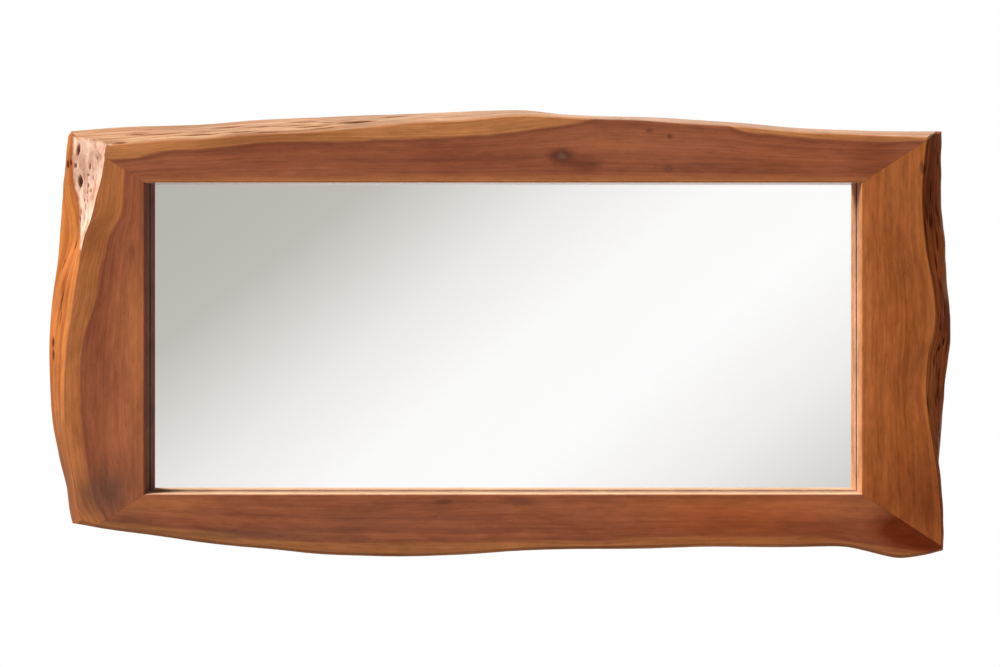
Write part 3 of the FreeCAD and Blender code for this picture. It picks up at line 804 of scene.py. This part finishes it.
def object_axes(tree):
    place = add_node(tree, "TexCoord").outputs["Object"]
    return add_node(tree, "SeparateXYZ", {0: place}).outputs


def bump(tree, height, distance, strength):
    return add_node(tree, "Bump", {"Height": height, "Distance": distance, "Strength": strength}).outputs[0]


# Shared effects

# Figures of the wood: scales per metre along, across and into the grain, detail, and the range that counts
GRAIN_FIGURES = {
    "Bands": ((1.3, 80, 40), 2.5, 0.32, 0.68),
    "Streaks": ((5.5, 360, 170), 3, 0.30, 0.70),
    "Flecks": ((42, 190, 110), 3, 0.34, 0.66),
    "Fibres": ((38, 2200, 1100), 2, 0.30, 0.70),
    "Pores": ((95, 1700, 900), 1, 0.62, 0.74),
    "Mottle": ((13, 42, 30), 3, 0.34, 0.66),
}
GRAIN_BEND = 14 * MM
GRAIN_BEND_SCALES = (2.6, 15, 15)
MARK_WOBBLE = 0.5
MARK_WOBBLE_SCALES = (160, 260, 1)
RING_EDGE = (0.55, 1.45)
HEART_EDGE = (0.30, 0.75)
SPECKLE_RANGE = (0.32, 0.68)


def slab_grain_group():
    """Figure of plain-sawn wood, from its coordinates along, across and into the grain."""
    group, entry, exits = new_group("slab_grain", ("Along", "Across", "Depth", "Seed"), tuple(GRAIN_FIGURES))
    along = entry["Along"]
    depth = calc(group, "ADD", entry["Depth"], entry["Seed"])
    bend = stretched_noise(group, (along, entry["Across"], depth), GRAIN_BEND_SCALES, 2)
    across = varied(group, entry["Across"], centred(group, bend), GRAIN_BEND)
    for label, (scales, detail, low, high) in GRAIN_FIGURES.items():
        figure = stretched_noise(group, (along, across, depth), scales, detail)
        feed(group, exits[label], rise(group, figure, low, high))
    return group


def mark_group():
    """Oval mark in the wood: a dark ring that fades outwards, and the paler heart inside it."""
    inputs = ("Along", "Out", "At Along", "At Out", "Half Length", "Half Width")
    group, entry, exits = new_group("wood_mark", inputs, ("Ring", "Heart"))
    ways = []
    for way, half in (("Along", "Half Length"), ("Out", "Half Width")):
        from_middle = calc(group, "SUBTRACT", entry[way], entry["At " + way])
        ways.append(calc(group, "DIVIDE", from_middle, entry[half]))
    wobble = stretched_noise(group, (entry["Along"], entry["Out"], 0.0), MARK_WOBBLE_SCALES, 2)
    radius = varied(group, distance_of(group, *ways), wobble, MARK_WOBBLE)
    for label, edge in (("Ring", RING_EDGE), ("Heart", HEART_EDGE)):
        feed(group, exits[label], rest_of(group, rise(group, radius, *edge)))
    return group


def speckle_group():
    """Coarse and fine grain of moulded, pressed or plated stuff."""
    inputs = ("X", "Y", "Z", "Coarse Scale", "Fine Scale")
    group, entry, exits = new_group("speckle", inputs, ("Coarse", "Fine"))
    for label, detail in (("Coarse", 3), ("Fine", 2)):
        scale = entry[label + " Scale"]
        grain = stretched_noise(group, [entry[axis] for axis in "XYZ"], (scale, scale, scale), detail)
        feed(group, exits[label], rise(group, grain, *SPECKLE_RANGE))
    return group


SLAB_GRAIN = slab_grain_group()
WOOD_MARK = mark_group()
SPECKLE = speckle_group()


def speckle(tree, axes, coarse_scale, fine_scale):
    """Speckle of a piece's own coordinates, with its scales per metre."""
    inputs = dict(zip("XYZ", axes), **{"Coarse Scale": coarse_scale, "Fine Scale": fine_scale})
    return place_group(tree, SPECKLE, inputs)


# Finishes of the wood, one look per member; each colour is as it looks on the screen
WoodLook = namedtuple(
    "WoodLook",
    "seed heart_dark heart_light sap_dark sap_light sap_share skin_dark skin_light wall wall_deep wall_gloss"
    " mottle flecks",
)
WALL_SHADE = (8 * MM, 24 * MM)  # behind the front, where the opening's walls turn to their deeper colour; both colours are painted light and shade
BARK_COLOUR = (60, 31, 17)
BARK_RANGE = (0.35, 1.0)  # depth of a hollow, as a share, over which old bark shows
STAIN_COLOUR = (170, 140, 118)
STAIN_RANGE = (0.05, 0.45)
WANE_STRETCH = 0.3  # of the bare patch's grain, upwards
WANE_SCALES = (130, 420)
WANE_COARSE_SHARE = 0.65
# The bare patch's speckle runs from its own wood colour to a near-white pink that is partly a painted
# highlight of its wax
WANE_COLOURS_AND_HIGHLIGHT = ((190, 132, 104), (254, 216, 192))
WANE_RIM_COLOUR = (150, 76, 42)
WANE_RIM_STRENGTH = 0.6
SAP_WANDER = 2.5 * MM
SAP_SOFTNESS = 2.4 * MM
SAP_RIM_COLOUR = (110, 60, 42)
SAP_RIM_STRENGTH = 0.5
SAP_RIM_EDGE = (2 * MM, 9 * MM)  # inside the sapwood line, where its dark rim runs out
BANDS_SHARE = 0.55  # of the heartwood's figure; streaks give the rest
PORE_SHADE = -0.20
FIBRE_SHADE = 0.10
WOOD_ROUGHNESS, FIBRE_ROUGHNESS, BARK_ROUGHNESS = 0.38, 0.10, 0.25
WAX_GLOSS, WANE_GLOSS = 0.10, 0.2
WAX_ROUGHNESS = 0.16
FIBRE_HEIGHT = 0.4
WOOD_BUMP = (0.12 * MM, 0.5)  # distance and strength, as for the other bumps
KNOT_COLOURS = ((78, 46, 34), (120, 88, 70))  # ring and heart
# Of these, the pale pinkish grey is painted sheen on the top rail's upper edge
PATCH_COLOURS = {
    "deep": (94, 36, 13), "pale": (196, 124, 68), "grey": (100, 66, 52), "sheen_pale": (196, 160, 140),
    "warm": (150, 72, 26),
}
# The inner walls' colours are painted light and shade: the top, right and bottom walls pale for the light
# that the pane throws on them, the left wall dark for its shade, and each graded with depth so that the
# walls and their reflections in the pane differ in brightness
WOOD_LOOKS = {
    "top_rail": WoodLook(
        1.7, (128, 72, 51), (156, 91, 62), (167, 105, 63), (192, 126, 76), 1.0, (163, 112, 79),
        (210, 165, 128), (214, 164, 130), (214, 164, 130), 1.0, 0.16, 0.12,
    ),
    "left_stile": WoodLook(
        5.2, (135, 76, 52), (162, 93, 62), (162, 97, 55), (183, 114, 65), 0.85, (171, 93, 45),
        (202, 124, 63), (150, 98, 84), (160, 118, 104), 0.0, 0.18, 0.14,
    ),
    "bottom_rail": WoodLook(
        9.4, (129, 71, 48), (156, 90, 58), (141, 86, 50), (160, 101, 59), 1.0, (120, 70, 40),
        (158, 98, 56), (238, 192, 158), (186, 146, 116), 0.0, 0.18, 0.14,
    ),
    "right_stile": WoodLook(
        14.3, (142, 75, 35), (168, 96, 49), (160, 92, 42), (176, 106, 51), 0.35, (118, 52, 18),
        (184, 93, 42), (200, 138, 93), (196, 145, 114), 0.0, 0.22, 0.22,
    ),
}
# Knots and dark marks on the fronts: millimetres along and outwards, half lengths, darkness, and
# how much paler the heart of a knot is
MARKS = {
    "top_rail": (
        (76, 34.5, 20, 13, 0.78, 0.6), (190, 68, 6, 4, 0.45, 0), (217, 60, 5, 4, 0.65, 0),
        (215, 18, 7, 6, 0.35, 0.5), (108, 24, 26, 9, 0.35, 0),
    ),
    "left_stile": ((113, 16, 16, 4, 0.35, 0),),
    "bottom_rail": ((-77, 10, 14, 4, 0.5, 0), (24, 8, 24, 8, 0.3, 0)),
    "right_stile": ((223, 78, 10, 3, 0.7, 0),),
}


def mark_colour(tree, name, along, out, colour):
    """A member's colour with its knots and dark marks."""
    for at, at_out, half_length, half_width, darkness, pale_heart in MARKS[name]:
        places = {"At Along": at, "At Out": at_out, "Half Length": half_length, "Half Width": half_width}
        places = {label: millimetres * MM for label, millimetres in places.items()}
        mark = place_group(tree, WOOD_MARK, {"Along": along, "Out": out, **places})
        for label, amount, tone in zip(("Ring", "Heart"), (darkness, pale_heart), KNOT_COLOURS):
            if amount:
                shown = calc(tree, "MULTIPLY", mark[label], amount)
                colour = mix_colour(tree, shown, colour, linear(tone))
    return colour


def front_colour(tree, look, grain):
    """Streaked heartwood with the paler sapwood beyond its line, before any marks."""
    streaks = calc(tree, "MULTIPLY", grain["Streaks"], 1 - BANDS_SHARE)
    figure = varied(tree, streaks, grain["Bands"], BANDS_SHARE)
    heart_colour = between(tree, figure, (look.heart_dark, look.heart_light))
    sap_colour = between(tree, grain["Streaks"], (look.sap_dark, look.sap_light))
    from_line = varied(tree, attribute(tree, "heart"), centred(tree, grain["Mottle"]), SAP_WANDER)
    in_heart = rise(tree, from_line, -SAP_SOFTNESS, SAP_SOFTNESS)
    sap = calc(tree, "MULTIPLY", rest_of(tree, in_heart), look.sap_share)
    colour = mix_colour(tree, sap, heart_colour, sap_colour)
    rim = calc(tree, "MULTIPLY", in_heart, rest_of(tree, rise(tree, from_line, *SAP_RIM_EDGE)))
    shown_rim = calc(tree, "MULTIPLY", rim, SAP_RIM_STRENGTH * look.sap_share)
    return mix_colour(tree, shown_rim, colour, linear(SAP_RIM_COLOUR))


def bare_colour_and_highlight(tree, axes):
    """Speckled colour of the bare patch, drawn out upwards; its palest speckles are partly a painted
    highlight.
    """
    upright = calc(tree, "MULTIPLY", axes["Z"], WANE_STRETCH)
    worn = speckle(tree, (axes["X"], axes["Y"], upright), *WANE_SCALES)
    fine = calc(tree, "MULTIPLY", worn["Fine"], 1 - WANE_COARSE_SHARE)
    share = varied(tree, fine, worn["Coarse"], WANE_COARSE_SHARE)
    return between(tree, share, WANE_COLOURS_AND_HIGHLIGHT)


def member_colour(tree, name, along, out, axes, grain):
    """Colour of a member's front, bark side, bare patch, inner wall with its painted light and shade, and
    marks.
    """
    look = WOOD_LOOKS[name]
    colour = front_colour(tree, look, grain)
    skin_colour = between(tree, grain["Streaks"], (look.skin_dark, look.skin_light))
    colour = mix_colour(tree, attribute(tree, "skin"), colour, skin_colour)
    rim = calc(tree, "MULTIPLY", attribute(tree, "rim"), WANE_RIM_STRENGTH)
    colour = mix_colour(tree, rim, colour, linear(WANE_RIM_COLOUR))
    colour = mix_colour(tree, attribute(tree, "wane"), colour, bare_colour_and_highlight(tree, axes))
    for kind in PATCH_KINDS:
        colour = mix_colour(tree, attribute(tree, kind), colour, linear(PATCH_COLOURS[kind]))
    # The inner wall: painted light and shade, graded with depth
    in_wall = rise(tree, axes["Y"], FRONT_Y + WALL_SHADE[0], FRONT_Y + WALL_SHADE[1])
    wall_painted_light = between(tree, in_wall, (look.wall, look.wall_deep))
    colour = mix_colour(tree, attribute(tree, "wall"), colour, wall_painted_light)
    return mark_colour(tree, name, along, out, colour)


def member_wood(name):
    """Waxed slab wood: streaked heartwood, a sapwood rim, and the bark side's skin."""
    look, side = WOOD_LOOKS[name], SIDES[name]
    material, tree, shader = new_material("wood_" + name)
    axes = object_axes(tree)
    along, outward = (axes["X"], axes["Z"]) if side.along is RIGHT else (axes["Z"], axes["X"])
    sense = side.outward.x + side.outward.z
    out = calc(tree, "MULTIPLY_ADD", outward, sense, -side.half_out)
    across = attribute(tree, "across")
    grain = place_group(
        tree, SLAB_GRAIN, {"Along": along, "Across": across, "Depth": axes["Y"], "Seed": look.seed}
    )
    colour = member_colour(tree, name, along, out, axes, grain)
    light = varied(tree, 1.0, grain["Pores"], PORE_SHADE)
    for label, amount in (("Mottle", look.mottle), ("Flecks", look.flecks), ("Fibres", FIBRE_SHADE)):
        light = varied(tree, light, centred(tree, grain[label]), amount)
    shaded = add_node(tree, "VectorMath", {0: colour, "Scale": light}, operation="SCALE").outputs[0]
    old_bark = attribute(tree, "bark")
    stain = rise(tree, old_bark, *STAIN_RANGE)
    stained = mix_colour(tree, stain, shaded, linear(STAIN_COLOUR), "MULTIPLY")
    bark = rise(tree, old_bark, *BARK_RANGE)
    feed(tree, shader.inputs["Base Color"], mix_colour(tree, bark, stained, linear(BARK_COLOUR)))
    rough = varied(tree, WOOD_ROUGHNESS, grain["Fibres"], FIBRE_ROUGHNESS)
    feed(tree, shader.inputs["Roughness"], varied(tree, rough, bark, BARK_ROUGHNESS))
    shader.inputs["Specular IOR Level"].default_value = 0.0
    open_gloss = varied(tree, WAX_GLOSS, attribute(tree, "wane"), WANE_GLOSS)
    wall_change = calc(tree, "SUBTRACT", look.wall_gloss, open_gloss)
    feed(tree, shader.inputs["Coat Weight"], varied(tree, open_gloss, attribute(tree, "wall"), wall_change))
    shader.inputs["Coat Roughness"].default_value = WAX_ROUGHNESS
    pits = calc(tree, "MULTIPLY", grain["Pores"], -1.0)
    height = varied(tree, pits, grain["Fibres"], FIBRE_HEIGHT)
    feed(tree, shader.inputs["Normal"], bump(tree, height, *WOOD_BUMP))
    return material


# Finishes of the pane and of what is behind it: colours from dark to light, scales per metre, and
# roughness with what the grain adds to it
DOWEL_COLOURS = ((196, 158, 116), (218, 184, 142))
DOWEL_PORE_COLOUR, DOWEL_PORE_SHARE = (150, 108, 72), 0.5
DOWEL_SEED = 3.3
DOWEL_ROUGHNESS = (0.55, 0.15)
DOWEL_BUMP = (0.1 * MM, 0.4)
GLASS_TINTS = ((0.992, 0.995, 0.992, 1), (0.996, 0.999, 0.996, 1))
GLASS_SCALES = (4, 40)
GLASS_IOR = 1.52
SILVER_TINTS = ((0.985, 0.98, 0.98, 1), (0.99, 0.985, 0.985, 1))
SILVER_SCALES = (3, 60)
BOARD_COLOURS = ((112, 76, 48), (138, 98, 64))
BOARD_FIBRE_COLOUR, BOARD_FIBRE_SHARE = (86, 56, 34), 0.5
BOARD_CLOUD_COLOUR, BOARD_CLOUD_SHARE = (150, 110, 72), 0.4
BOARD_SCALES = (60, 900)
BOARD_CLOUD_SCALE = 5
BOARD_ROUGHNESS = (0.62, 0.2)
BOARD_SCREEN_PITCH = 1.6 * MM
BOARD_BUMP = (0.08 * MM, 0.5)
ZINC_COLOURS = ((138, 140, 142), (178, 178, 173))
ZINC_SCALES = (140, 1800)
ZINC_SCRATCH_SCALES = (3000, 1200, 90)
ZINC_ROUGHNESS = (0.30, 0.14)
ZINC_SCRATCH_ROUGHNESS = 0.1
ZINC_BUMP = (0.03 * MM, 0.4)
RUBBER_COLOURS = ((26, 26, 27), (42, 41, 40))
RUBBER_SCALES = (260, 2600)
RUBBER_ROUGHNESS = (0.55, 0.2)
RUBBER_BUMP = (0.05 * MM, 0.4)


def vary_roughness(tree, shader, grain, base, amount):
    feed(tree, shader.inputs["Roughness"], varied(tree, base, grain, amount))


def dowel_wood():
    material, tree, shader = new_material("beech_dowel")
    axes = object_axes(tree)
    grain = place_group(
        tree, SLAB_GRAIN, {"Along": axes["X"], "Across": axes["Z"], "Depth": axes["Y"], "Seed": DOWEL_SEED}
    )
    colour = between(tree, grain["Streaks"], DOWEL_COLOURS)
    pores = calc(tree, "MULTIPLY", grain["Pores"], DOWEL_PORE_SHARE)
    feed(tree, shader.inputs["Base Color"], mix_colour(tree, pores, colour, linear(DOWEL_PORE_COLOUR)))
    vary_roughness(tree, shader, grain["Fibres"], *DOWEL_ROUGHNESS)
    feed(tree, shader.inputs["Normal"], bump(tree, grain["Fibres"], *DOWEL_BUMP))
    return material


def clear_glass():
    material, tree, shader = new_material("clear_glass")
    cloud = speckle(tree, object_axes(tree), *GLASS_SCALES)
    feed(tree, shader.inputs["Base Color"], mix_colour(tree, cloud["Coarse"], *GLASS_TINTS))
    shader.inputs["Roughness"].default_value = 0.0
    shader.inputs["IOR"].default_value = GLASS_IOR
    shader.inputs["Transmission Weight"].default_value = 1.0
    return material


def silvering():
    material, tree, shader = new_material("silvering")
    cloud = speckle(tree, object_axes(tree), *SILVER_SCALES)
    feed(tree, shader.inputs["Base Color"], mix_colour(tree, cloud["Coarse"], *SILVER_TINTS))
    shader.inputs["Metallic"].default_value = 1.0
    shader.inputs["Roughness"].default_value = 0.0
    return material


def hardboard():
    """Pressed fibreboard: speckled fibres and the print of the press screen."""
    material, tree, shader = new_material("hardboard")
    axes = object_axes(tree)
    fibre = speckle(tree, axes, *BOARD_SCALES)
    fibres = calc(tree, "MULTIPLY", fibre["Fine"], BOARD_FIBRE_SHARE)
    cloud = stretched_noise(tree, axes, (BOARD_CLOUD_SCALE,) * 3, 3)
    clouds = calc(tree, "MULTIPLY", cloud, BOARD_CLOUD_SHARE)
    colour = between(tree, fibre["Coarse"], BOARD_COLOURS)
    colour = mix_colour(tree, fibres, colour, linear(BOARD_FIBRE_COLOUR))
    feed(tree, shader.inputs["Base Color"], mix_colour(tree, clouds, colour, linear(BOARD_CLOUD_COLOUR)))
    vary_roughness(tree, shader, fibre["Fine"], *BOARD_ROUGHNESS)
    turns = [calc(tree, "MULTIPLY", axes[axis], 2 * math.pi / BOARD_SCREEN_PITCH) for axis in "XZ"]
    screen = calc(tree, "MULTIPLY", *[calc(tree, "SINE", turn) for turn in turns])
    feed(tree, shader.inputs["Normal"], bump(tree, calc(tree, "ADD", screen, fibre["Fine"]), *BOARD_BUMP))
    return material


def zinc_steel():
    """Zinc-plated steel, faintly clouded and scratched."""
    material, tree, shader = new_material("zinc_steel")
    axes = object_axes(tree)
    plate = speckle(tree, axes, *ZINC_SCALES)
    scratch = stretched_noise(tree, axes, ZINC_SCRATCH_SCALES, 2)
    feed(tree, shader.inputs["Base Color"], between(tree, plate["Coarse"], ZINC_COLOURS))
    shader.inputs["Metallic"].default_value = 1.0
    clouded = varied(tree, ZINC_ROUGHNESS[0], plate["Coarse"], ZINC_ROUGHNESS[1])
    vary_roughness(tree, shader, scratch, clouded, ZINC_SCRATCH_ROUGHNESS)
    feed(tree, shader.inputs["Normal"], bump(tree, calc(tree, "ADD", plate["Fine"], scratch), *ZINC_BUMP))
    return material


def black_rubber():
    material, tree, shader = new_material("black_rubber")
    grain = speckle(tree, object_axes(tree), *RUBBER_SCALES)
    feed(tree, shader.inputs["Base Color"], between(tree, grain["Coarse"], RUBBER_COLOURS))
    vary_roughness(tree, shader, grain["Fine"], *RUBBER_ROUGHNESS)
    feed(tree, shader.inputs["Normal"], bump(tree, grain["Fine"], *RUBBER_BUMP))
    return material


def dress_node(node, material):
    """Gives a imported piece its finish."""
    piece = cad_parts[node]
    piece.data.materials.clear()
    piece.data.materials.append(material)


def dress_hardware():
    steel, rubber, dowel = zinc_steel(), black_rubber(), dowel_wood()
    dress_node("backing_board", hardboard())
    dress_node("backing_screws", steel)
    for hand in ("left", "right"):
        for stem in ("hanger_strap_", "hanger_ring_", "hanger_screws_"):
            dress_node(stem + hand, steel)
        dress_node("wall_bumper_" + hand, rubber)
    for corner in ("top_left", "top_right", "bottom_left", "bottom_right"):
        dress_node("dowels_" + corner, dowel)


# Studio


def pale_floor():
    """Floor that fades out with distance, and is clear from below."""
    sheet = bmesh.new()
    bmesh.ops.create_grid(sheet, x_segments=FLOOR_SEGMENTS, y_segments=FLOOR_SEGMENTS, size=FLOOR_HALF)
    bmesh.ops.translate(sheet, vec=UP * FLOOR_Z, verts=sheet.verts)
    mesh = bpy.data.meshes.new("studio_floor")
    sheet.to_mesh(mesh)
    sheet.free()
    floor = bpy.data.objects.new("studio_floor", mesh)
    bpy.context.scene.collection.objects.link(floor)
    material, tree, shader = new_material("pale_floor")
    axes = object_axes(tree)
    cloud = stretched_noise(tree, axes, (FLOOR_CLOUD_SCALE,) * 3, 2)
    feed(tree, shader.inputs["Base Color"], mix_colour(tree, cloud, *FLOOR_TONES))
    shader.inputs["Roughness"].default_value = FLOOR_ROUGHNESS
    faded = rise(tree, distance_of(tree, axes["X"], axes["Y"]), *FLOOR_FADE)
    from_below = add_node(tree, "NewGeometry").outputs["Backfacing"]
    feed(tree, shader.inputs["Alpha"], rest_of(tree, calc(tree, "MAXIMUM", faded, from_below)))
    mesh.materials.append(material)


def room_tones(tree):
    """Colour of the room by direction, for what shines."""
    way = add_node(tree, "SeparateXYZ", {0: add_node(tree, "TexCoord").outputs["Generated"]}).outputs
    slant = calc(tree, "SUBTRACT", way["X"], calc(tree, "MULTIPLY", way["Z"], ROOM_SLANT))
    span = {"Value": slant, "From Min": -ROOM_REACH, "From Max": ROOM_REACH}
    ramp = add_node(tree, "ValToRGB", {"Fac": add_node(tree, "MapRange", span).outputs[0]})
    stops = ramp.color_ramp.elements
    while len(stops) < len(ROOM_TONES):
        stops.new(1.0)
    for stop, (slant_there, tone) in zip(stops, ROOM_TONES):
        stop.position = (slant_there + ROOM_REACH) / (2 * ROOM_REACH)
        stop.color = linear(tone)
    return ramp.outputs["Color"]


def studio_world():
    """White behind the object, the room's tones in what shines, and an even glow for the rest."""
    world = bpy.data.worlds.new("studio")
    world.use_nodes = True
    bpy.context.scene.world = world
    tree = world.node_tree
    tree.nodes.clear()
    path = add_node(tree, "LightPath").outputs
    shining = calc(tree, "MAXIMUM", path["Is Glossy Ray"], path["Is Transmission Ray"])
    straight = calc(tree, "LESS_THAN", path["Diffuse Depth"], FIRST_BOUNCE)
    seen = calc(tree, "MULTIPLY", calc(tree, "MAXIMUM", shining, path["Is Camera Ray"]), straight)
    tones = mix_colour(tree, path["Is Camera Ray"], room_tones(tree), WHITE)
    glow = add_node(tree, "Background", {"Color": WHITE, "Strength": AMBIENT}).outputs[0]
    view = add_node(tree, "Background", {"Color": tones, "Strength": 1.0}).outputs[0]
    both = add_node(tree, "MixShader", {0: seen, 1: glow, 2: view}).outputs[0]
    feed(tree, add_node(tree, "OutputWorld").inputs["Surface"], both)


def soft_light(label, come_from, angle, strength):
    lamp = bpy.data.lights.new(label, "SUN")
    lamp.energy = strength
    lamp.angle = angle
    lamp.color = LIGHT_COLOUR
    holder = bpy.data.objects.new(label, lamp)
    holder.rotation_euler = (-come_from).to_track_quat("-Z", "Y").to_euler()
    bpy.context.scene.collection.objects.link(holder)


def photo_camera():
    lens = bpy.data.cameras.new("photo_camera")
    lens.sensor_width = SENSOR_WIDTH
    lens.lens = FOCAL_PIXELS / PHOTO_WIDTH * SENSOR_WIDTH
    lens.shift_y = (AXIS_ROW - PHOTO_HEIGHT / 2) / PHOTO_WIDTH
    camera = bpy.data.objects.new("photo_camera", lens)
    camera.location = CAMERA_PLACE
    camera.rotation_euler = (math.pi / 2, 0, 0)
    bpy.context.scene.collection.objects.link(camera)
    bpy.context.scene.camera = camera


bpy.context.scene.view_settings.view_transform = "Standard"
photo_camera()
studio_world()
soft_light("key_light", KEY_FROM, KEY_ANGLE, KEY_STRENGTH)
soft_light("wall_side_fill", FILL_FROM, FILL_ANGLE, FILL_STRENGTH)
pale_floor()
for member in SIDES:
    member_slab(member).data.materials.append(member_wood(member))
glass_pane()
dress_hardware()
